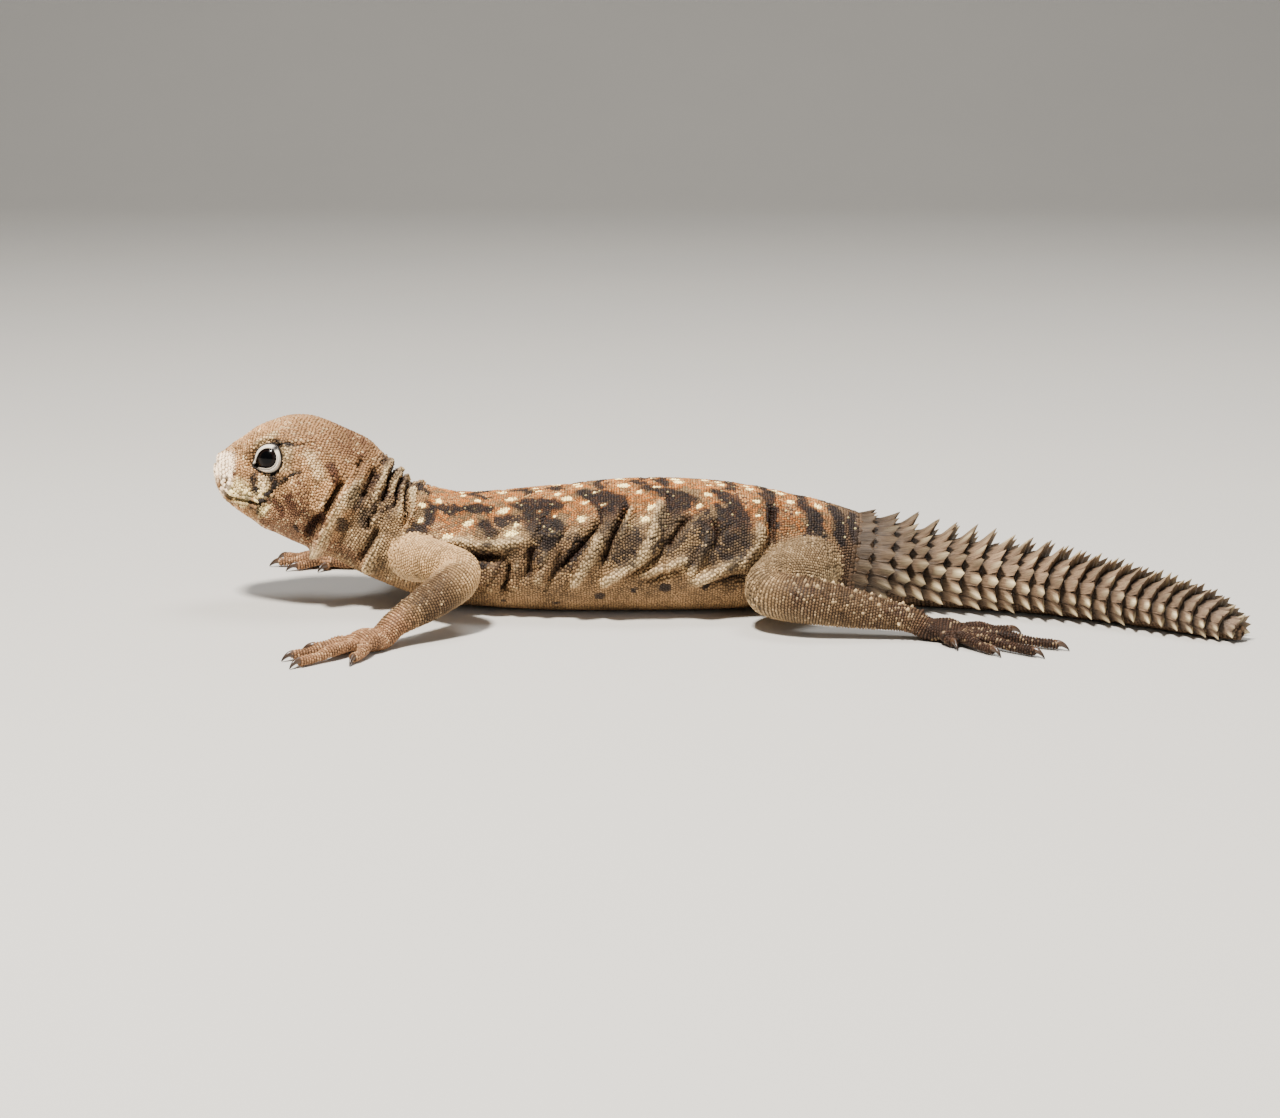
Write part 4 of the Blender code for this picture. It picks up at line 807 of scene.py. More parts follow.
def hideMasks(points, part, s, g, shake):
    # Masks from 0 to 1 for each place. shake is a random number from -1 to 1 for each scale, or noise.
    onTrunk = part == 0
    lift = foldLift(points, s, g)[0] * onTrunk
    other = np.where(g > 0, 1.0, 0.0)
    second = np.roll(shake, 1)
    s = s + 0.16 * shake + other * (0.5 + 0.5 * cloudNoise(points, 7.0, 1))
    side = abs(g) + 0.14 * second + other * 0.4 * cloudNoise(points, 6.0, 2)
    coarse, fine, wide = (cloudNoise(points, size, seed) for size, seed in ((2.2, 3), (0.9, 4), (4.5, 13)))
    mask = {}
    # the back and flanks: rust ground, dark bars and patches, cream spots in a rust ring
    back = easeOut(side + 1.8 * coarse + 1.2 * wide, 8.6, 13.0) * easeIn(s + 1.5 * coarse, -43.0, -38.0)
    rust = easeIn(coarse + 0.5 * fine + 0.3 * shake, -0.75, -0.05)
    bars = drawn(s + 0.95 * coarse + 0.3 * fine, side + 0.9 * fine, marks["bars"], 0.25)
    speckle = drawn(s + coarse, side + 0.8 * fine, marks["patches"], 0.5)
    speckle = easeIn(0.9 * speckle + 0.5 * shake + 0.35 * coarse, 0.36, 0.72)
    flank = between(side, 9.5, 12.5, 16.5, 19.0)
    darker = between(s, -24, -12, 10, 13)
    scattered = flank * easeIn(0.4 * shake + 0.75 * coarse + 0.35 * fine + 0.5 * darker, 0.4, 0.85)
    dark = np.maximum(bars * clamp(0.94 + 0.2 * shake), np.maximum(0.95 * speckle, 0.72 * scattered))
    dark = dark * (1 - flank * clamp(0.15 + 0.35 * wide + 0.25 * fine, 0.5))
    dark = dark * (1 - 0.85 * easeIn(side, 17.5, 20.0))
    for x, y, r in marks["bellySpots"]:
        dark = np.maximum(dark, 0.92 * easeOut(np.hypot(s - x, side - y) / r, 0.75, 1.15))
    onBody = onTrunk * between(s, -44.0, -41.5, 23.0, 25.5)
    dark = dark * onBody
    cream, ring = np.zeros(len(s)), np.zeros(len(s))
    for x, y, rx, ry in marks["spots"]:
        away = np.hypot((s - x) / (rx * 1.17), (side - y) / (ry * 1.17)) + 0.12 * fine
        cream = np.maximum(cream, easeOut(away, 0.85, 1.1))
        ring = np.maximum(ring, easeOut(away, 1.3, 2.1) * min(1, rx / 0.6))
    flecks = onBody * easeIn(second, 0.93, 0.98) * easeOut(side, 12, 14) * easeIn(dark, 0.3, 0.7)
    cream, ring = np.maximum(cream * onBody, 0.4 * flecks), ring * onBody
    dark = dark * (1 - 0.75 * ring)
    rust = np.maximum(rust, ring) * clamp(0.85 + 0.5 * shake + 0.3 * fine)
    mask["rust"] = onTrunk * back * easeOut(s, 17.5, 21.5) * rust
    sandy = easeIn(0.55 * second + 0.6 * coarse + 0.2 * fine, 0.1, 0.75) * easeOut(side, 19, 22)
    sandy = sandy * (1 - 0.9 * dark) * (1 - 0.55 * mask["rust"])
    mask["sandy"] = onBody * sandy * easeOut(s, 18.5, 22.0)
    # the neck and head: dark and brown marks, a brown crown whose rear is partly painted shade, pale flecks
    head = onTrunk * easeOut(s + 0.6 * coarse, -49.5, -46.5)
    neck = onTrunk * between(s, -50, -47.5, -43, -40.5) * easeOut(side, 9, 13)
    blotch = 0.6 * coarse + 0.35 * shake + 0.3 * wide + 0.45 * easeOut(side, 3.0, 7.5)
    dark = np.maximum(dark, neck * easeIn(blotch, 0.25, 0.65) * 0.85)
    inHead = onTrunk & (s < -44)
    headDark = drawn(s + 0.1 * fine, side + 0.12 * coarse, headMarks["dark"], 0.5)
    dark = np.maximum(dark, inHead * headDark * clamp(0.92 + 0.25 * shake))
    brown = drawn(s + 0.3 * fine, side + 0.3 * coarse, headMarks["brown"], 0.7)
    brown = easeIn(brown + 0.35 * shake + 0.1 * fine, 0.32, 0.92)
    crown = easeIn(s, -62, -56) * easeOut(side, 7, 11)
    crown = crown * easeIn(0.5 * coarse + 0.6 * shake + 0.4 * fine, -0.6, 0.8)
    fleck = easeIn(second + 0.3 * fine, 0.55, 0.9)
    # the rear of the crown is browner: partly brown mottling, partly painted shade where the head turns away
    # from the light
    rear = easeIn(s, -58, -52) * easeOut(side, 4.5, 9.0)
    rear = rear * easeIn(0.5 * coarse + 0.5 * shake + 0.4 * fine, -1.1, 0.3)
    crown = np.maximum(0.76 * crown, 0.95 * rear * (1 - 0.7 * fleck) * easeOut(s, -50.5, -48.5))
    # the chest and rump are browner, partly as painted shade: under the side fold on the chest, and on the
    # rump by the hip
    chest = between(s, -43, -38, -18, -9) * easeIn(side, 13.0, 14.5) * easeOut(side, 18.0, 20.5)
    rump = easeIn(s, 7.0, 11.0) * easeIn(side, 3.5, 6.0) * easeOut(s, 20.0, 24.0)
    duskyAndShade = np.maximum(0.55 * chest, 0.42 * rump) * clamp(0.8 + 0.5 * coarse + 0.2 * shake, 1.2)
    mask["brown"] = onTrunk * np.maximum(inHead * np.maximum(brown, crown), duskyAndShade)
    pale = drawn(s, side, headMarks["pale"], 0.6) * clamp(0.8 + 0.5 * shake)
    pale = np.maximum(pale, 0.6 * easeIn(second + 0.3 * fine, 0.6, 0.95))
    # painted highlight: the ridges of the neck's wrinkles turn pale and lose their dark marks
    ridgeHighlight = neck * easeIn(lift + 0.15 * fine + 0.15 * shake, 0.35, 0.85)
    mask["pale"] = np.maximum(inHead * pale, 0.8 * ridgeHighlight)
    mask["dark"] = dark * (1 - 0.8 * ridgeHighlight)
    mask["cream"] = cream
    mask["head"] = head
    mask["yellow"] = inHead * drawn(s, side, headMarks["yellow"], 0.5) * clamp(0.75 + 0.4 * shake)
    mask["white"] = inHead * drawn(s, side, headMarks["white"], 0.4)
    mask["throat"] = inHead * easeIn(side, 15.5, 18.5)
    mask["belly"] = onTrunk * easeIn(side + 0.8 * coarse, 17.0, 20.5) * (1 - head)
    mask["leg"] = 1.0 * (part > 0)
    mask["tail"] = onTrunk * easeIn(s, 18.5, 22.5)
    tone = clamp(0.5 + 0.34 * shake + 0.3 * coarse + 0.16 * fine * head)
    mask["tone"] = np.maximum(tone, np.maximum(cream, 0.85 * np.maximum(mask["white"], mask["yellow"])))
    # painted highlight: the crests of the folds take a pale cream where they stand highest
    crest = onTrunk * easeIn(lift + 0.2 * fine, 0.35, 1.1) * (s < 20)
    mask["crest"] = crest * np.where(s < -49.5, 0.6, 1.0)
    # painted shade: the grooves between the folds are darkened to a deep brown, more where they sink deeper
    mask["crease"] = onTrunk * easeIn(-lift, 0.22, 0.95)
    legMasks(mask, part, s, g, shake, coarse)
    return mask


# Scales: small closed-rim domes in rows, set on the sculpted skin and joined into a few meshes

skinFaces = [tuple(p.vertices) for p in skinPiece.data.polygons]
skinTree = BVHTree.FromPolygons(skinPoints.tolist(), skinFaces)


def smoothNormal(spot, face):  # the skin's normal at a spot on one of its faces, not yet of length 1
    ids = list(skinFaces[face])
    weight = 1 / (np.linalg.norm(skinPoints[ids] - np.array(spot), axis=1) + 0.02)
    return (skinNormals[ids] * weight[:, None]).sum(axis=0)


def landOn(base, out, reach):  # where rays from outside meet the skin, with smooth normals
    count = len(base)
    spots, normals, good = np.zeros((count, 3)), np.zeros((count, 3)), np.zeros(count, bool)
    starts = base + out * reach
    for i in range(count):
        hit, normal, face, away = skinTree.ray_cast(starts[i], -out[i], 2 * reach)
        if hit is not None and normal.dot(Vector(out[i])) >= scales["facing"]:
            spots[i], normals[i], good[i] = hit, smoothNormal(hit, face), True
    return spots, unit(normals), good


def scaleRows(loft, startT, endT, pitch):  # places of scales in rows round a loft, every other row shifted
    line = np.linspace(startT, endT, 400)
    run = passed(smoothRow(loft.rows, line)[:, :3])
    ts = np.interp(np.arange(0, run[-1], pitch * scales["rowShare"]), run, line)
    angles = np.linspace(0, 2 * math.pi, 181)
    allT, allAngle = [], []
    for row, t in enumerate(ts):
        girth = passed(loft.points(np.full(181, t), angles)[0])
        count = max(int(round(girth[-1] / pitch)), 5)
        places = (np.arange(count) + 0.5 * (row % 2)) * girth[-1] / count
        allAngle.append(np.interp(places, girth, angles))
        allT.append(np.full(count, t))
    return np.concatenate(allT), np.concatenate(allAngle)


scaleShapes = {
    # rings from the rim to the top: share of the radius, share of the height; then how many sides
    "granule": (((1.0, -0.6), (0.74, 0.76)), 6),
    "bead": (((1.0, -0.6), (0.90, 0.5), (0.54, 0.94)), 6),
    "plate": (((1.0, -0.6), (0.93, 0.3), (0.76, 0.78), (0.4, 0.96)), 8),
    "cone": (((1.0, -0.3), (0.62, 0.34), (0.3, 0.78)), 7),
}


def scaleTemplate(shape):
    rings, sides = scaleShapes[shape]
    turn = np.arange(sides) * 2 * math.pi / sides
    points = [np.stack([np.cos(turn) * r, np.sin(turn) * r, np.full(sides, h)], 1) for r, h in rings]
    points = np.concatenate([*points, [[0, 0, 1.0]]])
    faces = triangles(gridFaces(len(rings), sides)).tolist()
    top, last = len(points) - 1, (len(rings) - 1) * sides
    faces += [[last + k, last + (k + 1) % sides, top] for k in range(sides)]
    return points, np.array(faces)


def bakeMap(thing, uvCentres, local, counts):  # each scale gets a small patch of its own on the bake map
    layer = thing.data.uv_layers.new(name="OFBake")
    perPoint = np.repeat(uvCentres, counts, axis=0) + local * 0.0015
    index = np.empty(len(thing.data.loops), np.int32)
    thing.data.loops.foreach_get("vertex_index", index)
    layer.data.foreach_set("uv", perPoint[index].astype(np.float32).ravel())


def setCopies(name, template, faces, spots, along, side, out):
    # a mesh with one copy of the template on each spot; the template's x, y and z have a row per copy
    x, y, z = template
    points = (spots[:, None] + along[:, None] * x[..., None] + side[:, None] * y[..., None]
              + out[:, None] * z[..., None]).reshape(-1, 3)
    points[:, 2] = np.maximum(points[:, 2], 0.0)
    count, each = x.shape
    return newMesh(name, points, (faces[None] + (np.arange(count) * each)[:, None, None]).reshape(-1, 3))


def setScales(name, spots, normals, along, uv, sizes, shape, masks, tilt):
    # sizes: half length, half width and height of each scale; tilt lifts the rear edge
    template, faces = scaleTemplate(shape)
    forward = unit(along - normals * (along * normals).sum(axis=1, keepdims=True))
    lx, ly, lz = template.T
    local = lx * sizes[:, 0:1], ly * sizes[:, 1:2], (lz + tilt * lx) * sizes[:, 2:3]
    made = setCopies(name, local, faces, spots, forward, np.cross(normals, forward), normals)
    count, each = len(spots), len(template)
    values = {key: np.repeat(value, each) for key, value in masks.items()}
    # dome runs from 0 at a scale's rim to 1 at its top; the material darkens the low part as painted shade
    # between the scales
    setValues(made, {**values, "dome": np.tile(clamp((lz + 0.5) / 1.5), count)})
    bakeMap(made, uv, np.tile(template[:, :2], (count, 1)), each)
    return made


def alongOf(loft, t, angle):  # direction of the surface from head to tail, or from shoulder to toes
    step = 0.03
    ahead = loft.points(np.minimum(t + step, loft.last), angle)[0]
    behind = loft.points(np.maximum(t - step, 0), angle)[0]
    return unit(ahead - behind)


coat = {
    # pitch: spacing in mm. fill: half width of a scale as a share of its spacing. loose: how far the rows are
    # shaken before the scales settle. stretch: half length and half width against the fill.
    "snout": {"pitch": 0.60, "fill": 0.52, "height": 0.15, "loose": 0.3, "settle": 3, "shape": "bead",
              "stretch": (1, 1)},
    "head": {"pitch": 0.41, "fill": 0.52, "height": 0.15, "loose": 0.34, "settle": 4, "shape": "bead",
             "stretch": (1, 1)},
    "body": {"pitch": 0.43, "fill": 0.51, "height": 0.15, "loose": 0.30, "settle": 3, "shape": "granule",
             "stretch": (1, 1)},
    "tail": {"pitch": 0.70, "fill": 0.54, "height": 0.14, "loose": 0.05, "settle": 1, "shape": "granule",
             "stretch": (1, 1)},
    "legs": {"pitch": 0.45, "fill": 0.52, "height": 0.15, "loose": 0.10, "settle": 1, "shape": "granule",
             "stretch": (0.84, 1.14)},
    "digits": {"pitch": 0.48, "fill": 0.54, "height": 0.17, "loose": 0.05, "settle": 1, "shape": "granule",
               "stretch": (0.80, 1.2)},
}
scales = {
    "rowShare": 0.88,        # distance of the rows as a share of the spacing
    "snoutEnd": -65.4, "headEnd": -50.4,
    "tailFrom": 112,         # degrees from the top line, behind the first rings of spines
    "tailFreeX": 30.5,       # in front of this the tail has scales all round
    "reach": 2.4,            # how far from the loft the skin is looked for
    "facing": 0.15,          # least cosine between the skin there and the loft
    "tilt": 0.14,
    "uneven": 0.13,
    # as shares of the spacing: room from scales that are there, between neighbours, least and most
    "fromOthers": 0.72, "apart": 1.04, "room": (0.78, 1.3),
    "push": 0.34,            # share of the missing room that one round of settling gives
    "bare": 0.84,            # skin this far from a scale, as a share of the spacing, is bare
    "inGaps": 0.4,           # least distance in mm of the scales that close gaps
    "mostTriangles": 190000,   # in one piece
}
placed = {"spots": [], "normals": [], "along": [], "uv": [], "pitch": [], "group": []}


def coatValue(names, key):  # the value of each scale's own group
    return np.array([coat[name][key] for name in names])


def addPlaced(*values):  # spots, normals, along, uv, pitch, group
    for key, value in zip(placed, values):
        placed[key].append(value)


def clearOf(tree, spots, gap):  # which spots lie farther than gap from all places of the tree
    return np.array([tree.find(spot)[2] > gap for spot in spots], bool)


def settle(spots, pitch, rounds):  # neighbours push each other apart, so that the rows close up evenly
    for step in range(rounds):
        tree = treeOf(spots)
        found = np.array([[f[1] for f in tree.find_n(p, 7)] for p in spots])
        away = spots[:, None] - spots[found]
        gap = np.linalg.norm(away, axis=2)
        push = np.maximum(scales["apart"] * pitch - gap, 0) * (gap > 1e-6)
        push = push[:, :, None] * away / np.maximum(gap, 1e-6)[:, :, None]
        spots = spots + scales["push"] * push.sum(axis=1)
    return spots


def room(spots, pitch):  # how much space each scale has between its neighbours
    tree = treeOf(spots)
    gaps = np.array([[f[2] for f in tree.find_n(p, 6)[1:]] for p in spots])
    least, most = scales["room"]
    return np.clip(gaps.mean(axis=1), least * pitch, most * pitch)


def snapToSkin(spots):
    found = [skinTree.find_nearest(spot) for spot in spots]
    return np.array([f[0] for f in found]), unit(np.array([smoothNormal(f[0], f[2]) for f in found]))


def gather(group, loft, startT, endT, reach, uvBox, tree=None):
    pitch = coat[group]["pitch"]
    t, angle = scaleRows(loft, startT, endT, pitch)
    if group == "tail":  # the rings of spines cover the rest
        low = abs((angle + math.pi) % (2 * math.pi) - math.pi) > math.radians(scales["tailFrom"])
        fits = low | (t > trunk.last - 0.4) | (t < trunk.findX(scales["tailFreeX"]))
        t, angle = t[fits], angle[fits]
    jitter = chance.uniform(-1, 1, (len(t), 2))
    t = t + jitter[:, 0] * 0.002
    angle = angle + jitter[:, 1] * 0.006
    spots, normals, good = landOn(*loft.points(t, angle), reach)
    if tree is not None:
        good[good] = clearOf(tree, spots[good], scales["fromOthers"] * pitch)
    u = uvBox[0] + (uvBox[2] - uvBox[0]) * (t - startT) / (endT - startT)
    v = uvBox[1] + (uvBox[3] - uvBox[1]) * (angle % (2 * math.pi)) / (2 * math.pi)
    spots = spots[good] + chance.normal(0, 1, (good.sum(), 3)) * 0.55 * coat[group]["loose"] * pitch
    spots, normals = snapToSkin(settle(spots, pitch, coat[group]["settle"]))
    addPlaced(spots, normals, alongOf(loft, t, angle)[good], np.stack([u, v], 1)[good], room(spots, pitch),
              np.full(len(spots), group))


def thinOut(points, space):  # keeps places that are at least this far apart
    kept = []
    tree = treeOf(points)
    taken = np.zeros(len(points), bool)
    for i, p in enumerate(points):
        if not taken[i]:
            kept.append(i)
            taken[[j for spot, j, away in tree.find_range(p, space)]] = True
    return np.array(kept)


def pickApart(points, fits, space):  # some of the places that fit, at least this far apart
    ids = np.nonzero(fits)[0]
    ids = ids[chance.permutation(len(ids))]
    return ids[thinOut(points[ids], space)]


ends = [0.1, *(trunk.findX(x) for x in (scales["snoutEnd"], scales["headEnd"], body["tailStartX"])),
        trunk.last - 0.02]
for i, (group, left, right, reach) in enumerate((
        ("snout", 0.0, 0.05, scales["reach"]), ("head", 0.05, 0.2, scales["reach"]),
        ("body", 0.2, 0.82, scales["reach"]), ("tail", 0.82, 1.0, scales["reach"] / 2))):
    gather(group, trunk, ends[i], ends[i + 1], reach, (left, 0.42, right, 1.0))


def gatherSnoutTip():  # scales on the front of the snout, where the rows round the body end
    pitch = coat["snout"]["pitch"]
    tree = treeOf(np.concatenate(placed["spots"]))
    y, z = np.meshgrid(np.arange(-7, 8), np.arange(-7, 8))
    y = ((y + 0.5 * (z % 2)) * pitch).ravel()
    base = np.stack([np.full(len(y), -67.6), y, 18.9 + z.ravel() * pitch * scales["rowShare"]], 1)
    spots, normals, good = landOn(base, np.tile([-1.0, 0.0, 0.0], (len(base), 1)), 2.0)
    good[good] = clearOf(tree, spots[good], 0.7 * pitch)
    spots, count = spots[good], good.sum()
    uvs = np.stack([np.full(count, 0.002), 0.5 + spots[:, 2] * 0.01], 1)
    addPlaced(spots, normals[good], np.tile([0.1, 0.0, 1.0], (count, 1)), uvs, np.full(count, pitch),
              np.full(count, "snout"))


gatherSnoutTip()
tree = treeOf(np.concatenate(placed["spots"]))
for i, loft in enumerate(legLofts.values()):
    gather("legs", loft, 0.4, loft.last - 0.25, 1.6, (0.25 * i, 0.2, 0.25 * i + 0.24, 0.41), tree)
tree = treeOf(np.concatenate(placed["spots"]))
for i, loft in enumerate(digitLofts.values()):
    left, low = (i % 10) * 0.1, 0.1 if i < 10 else 0.0
    gather("digits", loft, 0.3, loft.last - 0.6, 0.8, (left, low, left + 0.09, low + 0.09), tree)


def fillGaps():  # adds scales on any skin that is still bare, such as in the folds and at the joints
    part, s, g = skinMap.find(skinPoints)
    tree = treeOf(np.concatenate(placed["spots"]))
    found = [tree.find(p) for p in skinPoints]
    group = np.select([part > 4, part > 0, s < scales["snoutEnd"], s < scales["headEnd"]],
                      ["digits", "legs", "snout", "head"], "body")
    pitch = coatValue(group, "pitch")
    onTail = (part == 0) & (s > body["tailStartX"])
    bare = (np.array([f[2] for f in found]) > scales["bare"] * pitch) & ~onTail
    keep = pickApart(skinPoints, bare, scales["inGaps"])
    uvs = np.concatenate(placed["uv"])[[found[i][1] for i in keep]]
    along = skinMap.alongs[skinMap.nearest(skinPoints[keep])]
    addPlaced(skinPoints[keep], skinNormals[keep], unit(along), uvs, 0.95 * pitch[keep], group[keep])
    print("scales added in gaps:", len(keep))


fillGaps()
placed = {key: np.concatenate(value) for key, value in placed.items()}
spots, group = placed["spots"], placed["group"]
print("scales placed:", len(spots))

part, s, g = skinMap.find(spots)
shake = chance.uniform(-1, 1, len(s))
hide = hideMasks(spots, part, s, g, shake)


def trunkPlace(s, g):  # the place on the trunk with this spine x and girth from the top, and the way out
    angles = np.linspace(-math.pi, math.pi, 241)
    found = []
    for x, girth in zip(s, g):
        ring, out = trunk.points(np.full(241, trunk.findX(x)), angles)
        run = passed(ring)
        i = int(np.argmin(abs(run - run[120] - girth)))
        found.append((ring[i], out[i]))
    return np.array(found).transpose(1, 0, 2)


# Larger plates edge the lips, and blunt cones stand on the nape, the shins and the forearms.

lips = {"length": 0.68, "away": (0.38, -0.36), "halfHeight": 0.29, "height": 0.19}
beads = {"space": 0.60, "size": 0.31, "height": 0.2}   # the large scales at the corner of the mouth
cones = {
    # the parts of the skin map, the stretch along them and the girth from the top line where cones stand
    "shin": {"parts": (3, 4), "between": (4.6, 7.4), "top": 4.6, "space": 1.05, "size": (0.40, 0.36, 0.46)},
    "forearm": {"parts": (1, 2), "between": (3.9, 6.6), "top": 4.2, "space": 1.5, "size": (0.36, 0.34, 0.34)},
    "nape": {"parts": (0,), "between": (-48.6, -40.6), "top": 12.5, "space": 1.2, "size": (0.30, 0.28, 0.34)},
}


def lipPlates():
    line = np.array(mouth["line"])[2:-1]
    steps = passed(line)
    at = np.arange(0.3, steps[-1], lips["length"])
    x, y = np.interp(at, steps, line[:, 0]), np.interp(at, steps, line[:, 1])
    ahead = unit(np.stack([np.gradient(x), np.gradient(y)], 1))
    rows = [(x + ahead[:, 1] * away, sign * (y - ahead[:, 0] * away)) for away in lips["away"]
            for sign in (1, -1)]
    return np.concatenate(rows, axis=1)


s2, g2 = lipPlates()
lipSpots, lipNormals, good = landOn(*trunkPlace(s2, g2), 2.0)
lipSpots, lipNormals, s2, g2 = lipSpots[good], lipNormals[good], s2[good], g2[good]
lipTree = treeOf(lipSpots)

coneSets = []
for how in cones.values():
    first, last = how["between"]
    fits = np.isin(part, how["parts"]) & (s > first) & (s < last) & (abs(g) < how["top"])
    ids = pickApart(spots, fits, how["space"])
    coneSets.append((ids, np.tile(how["size"], (len(ids), 1))))
coneIds, coneSizes = (np.concatenate(values) for values in zip(*coneSets))

# Scales are left out inside the lids, the mouth and the nostrils, and under the larger plates.
clear = {"lids": 2.04, "mouth": 0.15, "nostril": 1.2, "lips": 0.36, "beads": 0.35, "cones": 0.26,
         "beadsFromLips": 0.5}
onTrunk = part == 0
keep = np.ones(len(s), bool)
for sign in (1, -1):
    a, b, c = eyePlaces(spots, sign)
    keep &= ~((c > 0) & (np.hypot(a, b) < 4) & (lidShare(a, b) < clear["lids"]))
gap = pathDistance(s, abs(g), mouth["line"])[0]
keep &= ~(onTrunk & (s < -58.9) & (gap < clear["mouth"]) & (abs(g) > 6.8))
keep &= ~(onTrunk & (s < -62) & (fromNostril(s, abs(g)) < clear["nostril"]))
ids = np.nonzero(onTrunk & (s < -57) & (gap < 1.4))[0]
keep[ids] &= clearOf(lipTree, spots[ids], clear["lips"])
beadIds = pickApart(spots, onTrunk & (hide["yellow"] > 0.3) & keep, beads["space"])
beadIds = beadIds[clearOf(lipTree, spots[beadIds], clear["beadsFromLips"])]
for larger, near, free in ((beadIds, onTrunk & (s < -56) & keep, clear["beads"]),
                           (coneIds, (part > 0) | ((s > -49) & (s < -40)), clear["cones"])):
    ids = np.nonzero(near)[0]
    keep[ids] &= clearOf(treeOf(spots[larger]), spots[ids], free)

pitch = placed["pitch"] * coatValue(group, "fill")
bigger = 1 + scales["uneven"] * chance.uniform(-1, 1, (len(s), 2))
height = coatValue(group, "height") * (1 + 0.25 * chance.uniform(-1, 1, len(s)))
height = np.where(onTrunk & (abs(g) > 20) & (s < 23), height * 0.5, height)
height = np.where(onTrunk & (s > -49) & (s < -41) & (abs(g) < 12), height * 1.25, height)
closer = np.ones(len(s))  # round the eyes the scales are small
for sign in (1, -1):
    closer *= 0.78 + 0.22 * easeIn(np.linalg.norm(spots - eyeFrame(sign)[0], axis=1), 2.8, 4.6)
sizes = np.column_stack([pitch[:, None] * bigger * coatValue(group, "stretch") * closer[:, None], height])

coatPieces = []


def setPlaced(name, ids, sizes, shape, tilt, changed=()):  # a piece from some of the placed scales
    where = [placed[key][ids] for key in ("spots", "normals", "along", "uv")]
    masks = {key: value[ids] for key, value in hide.items()}
    coatPieces.append(setScales(name, *where, sizes, shape, {**masks, **dict(changed)}, tilt))


for name, kind in coat.items():
    ids = np.nonzero(keep & (group == name))[0]
    most = int(scales["mostTriangles"] / len(scaleTemplate(kind["shape"])[1]))
    for n, start in enumerate(range(0, len(ids), most)):
        some = ids[start:start + most]
        label = name + "Scales" + (str(n + 1) if len(ids) > most else "")
        setPlaced(label, some, sizes[some], kind["shape"], scales["tilt"])
    print(name, "scales set:", len(ids))

lipShake = chance.uniform(-1, 1, len(s2))
lipSizes = np.tile([lips["length"] * 0.5, lips["halfHeight"], lips["height"]], (len(s2), 1))
lipMasks = hideMasks(lipSpots, np.zeros(len(s2), int), s2, g2, lipShake)
lipUv = np.stack([0.03 + abs(s2) * 0.001, np.full(len(s2), 0.41)], 1)
lipAlong = unit(np.roll(lipSpots, -1, axis=0) - lipSpots)
coatPieces.append(setScales("lipPlates", lipSpots, lipNormals, lipAlong, lipUv, lipSizes, "plate", lipMasks,
                            0.0))
beadSizes = np.tile([beads["size"], beads["size"], beads["height"]], (len(beadIds), 1))
setPlaced("cheekBeads", beadIds, beadSizes * chance.uniform(0.88, 1.08, (len(beadIds), 1)), "plate", 0.05)
coneSizes = coneSizes * chance.uniform(0.75, 1.2, (len(coneIds), 1))
pick = chance.uniform(0, 1, len(coneIds))
hindCone = part[coneIds] >= 3
# half of the nape's cones also take the pale colour of the painted highlight on the crests
setPlaced("cones", coneIds, coneSizes, "cone", 0.5, {
    "legPale": np.where(pick > np.where(hindCone, 0.55, 0.88), 0.9, 0.0),
    "legDark": np.where(hindCone & (pick < 0.25), 0.9, hide["legDark"][coneIds]),
    "crest": np.maximum(hide["crest"][coneIds], np.where(pick > 0.5, 0.8, 0.0) * onTrunk[coneIds]),
})


# The tail's rings of keeled spines

tail = {
    "rings": 24,
    "firstX": 22.6,
    "tipShare": 0.12,
    "shortening": 0.42,
    "spineTop": 3.0, "spineSide": 2.7, "shrink": 0.45,
    "around": (21, 11),      # plates round the first and the last ring
    "sunk": (0.36, 2.0),     # mm that the first ring lies in the skin, and rings until that has faded out
    "spinySpread": 116,      # degrees from the top down to where the plates end
    "overhang": 1.26,        # how far a spine reaches over the next ring
    "paleFrom": (66, 80),    # degrees from the top line between which the pale spines begin
}


def tailStarts():
    first, end = trunk.findX(tail["firstX"]), trunk.last - tail["tipShare"]
    shares = 1 - tail["shortening"] * np.arange(tail["rings"]) / tail["rings"]
    line = np.linspace(first, end, 600)
    run = passed(smoothRow(trunk.rows, line)[:, :3])
    goals = np.concatenate([[0], np.cumsum(shares)]) / shares.sum() * run[-1]
    return np.interp(goals, run, line)


def spineTemplate():
    # A plate that climbs to its rear edge, with one spine in the middle of that edge: x from 0 to 1 and over,
    # y from -1 to 1, z the share of the height.
    along = (0.0, 0.14, 0.3, 0.46, 0.6, 0.72, 0.82, 0.91, 1.0)
    across = (-1.0, -0.72, -0.44, -0.18, 0.0, 0.18, 0.44, 0.72, 1.0)
    u, v = np.meshgrid(along, across, indexing="ij")
    ridge = (1 - abs(v)) ** 1.25 * easeIn(u, 0.25, 1.0)
    x = u * (1 + ridge * (tail["overhang"] - 1))
    z = (-0.1 + 0.12 * easeIn(u, 0, 0.25) + 0.52 * u ** 2.1 + 0.46 * ridge ** 1.3
         - 0.12 * (abs(v) > 0.9) * easeIn(u, 0, 0.3))
    top = np.stack([x, v, z], -1)
    bottom = np.stack([np.minimum(x, 1.0) * 0.88, v * 0.98, np.full(u.shape, -0.3)], -1)
    count = u.size
    faces = gridFaces(*u.shape, False)
    ids = np.arange(count).reshape(u.shape)
    edge = np.concatenate([ids[:, 0], ids[-1, 1:], ids[-2::-1, -1], ids[0, -2:0:-1]])
    turned = np.roll(edge, -1)
    wall = np.stack([edge, turned, turned + count, edge + count], 1)
    # wall is 1 on the underside of the plate, which the material darkens as painted shade
    values = {"along": np.tile(u.ravel(), 2), "grain": np.tile(v.ravel(), 2),
              "wall": np.repeat([0.0, 1.0], count)}
    points = np.concatenate([top.reshape(-1, 3), bottom.reshape(-1, 3)])
    return points, triangles(np.concatenate([faces[:, ::-1], faces + count, wall])), values


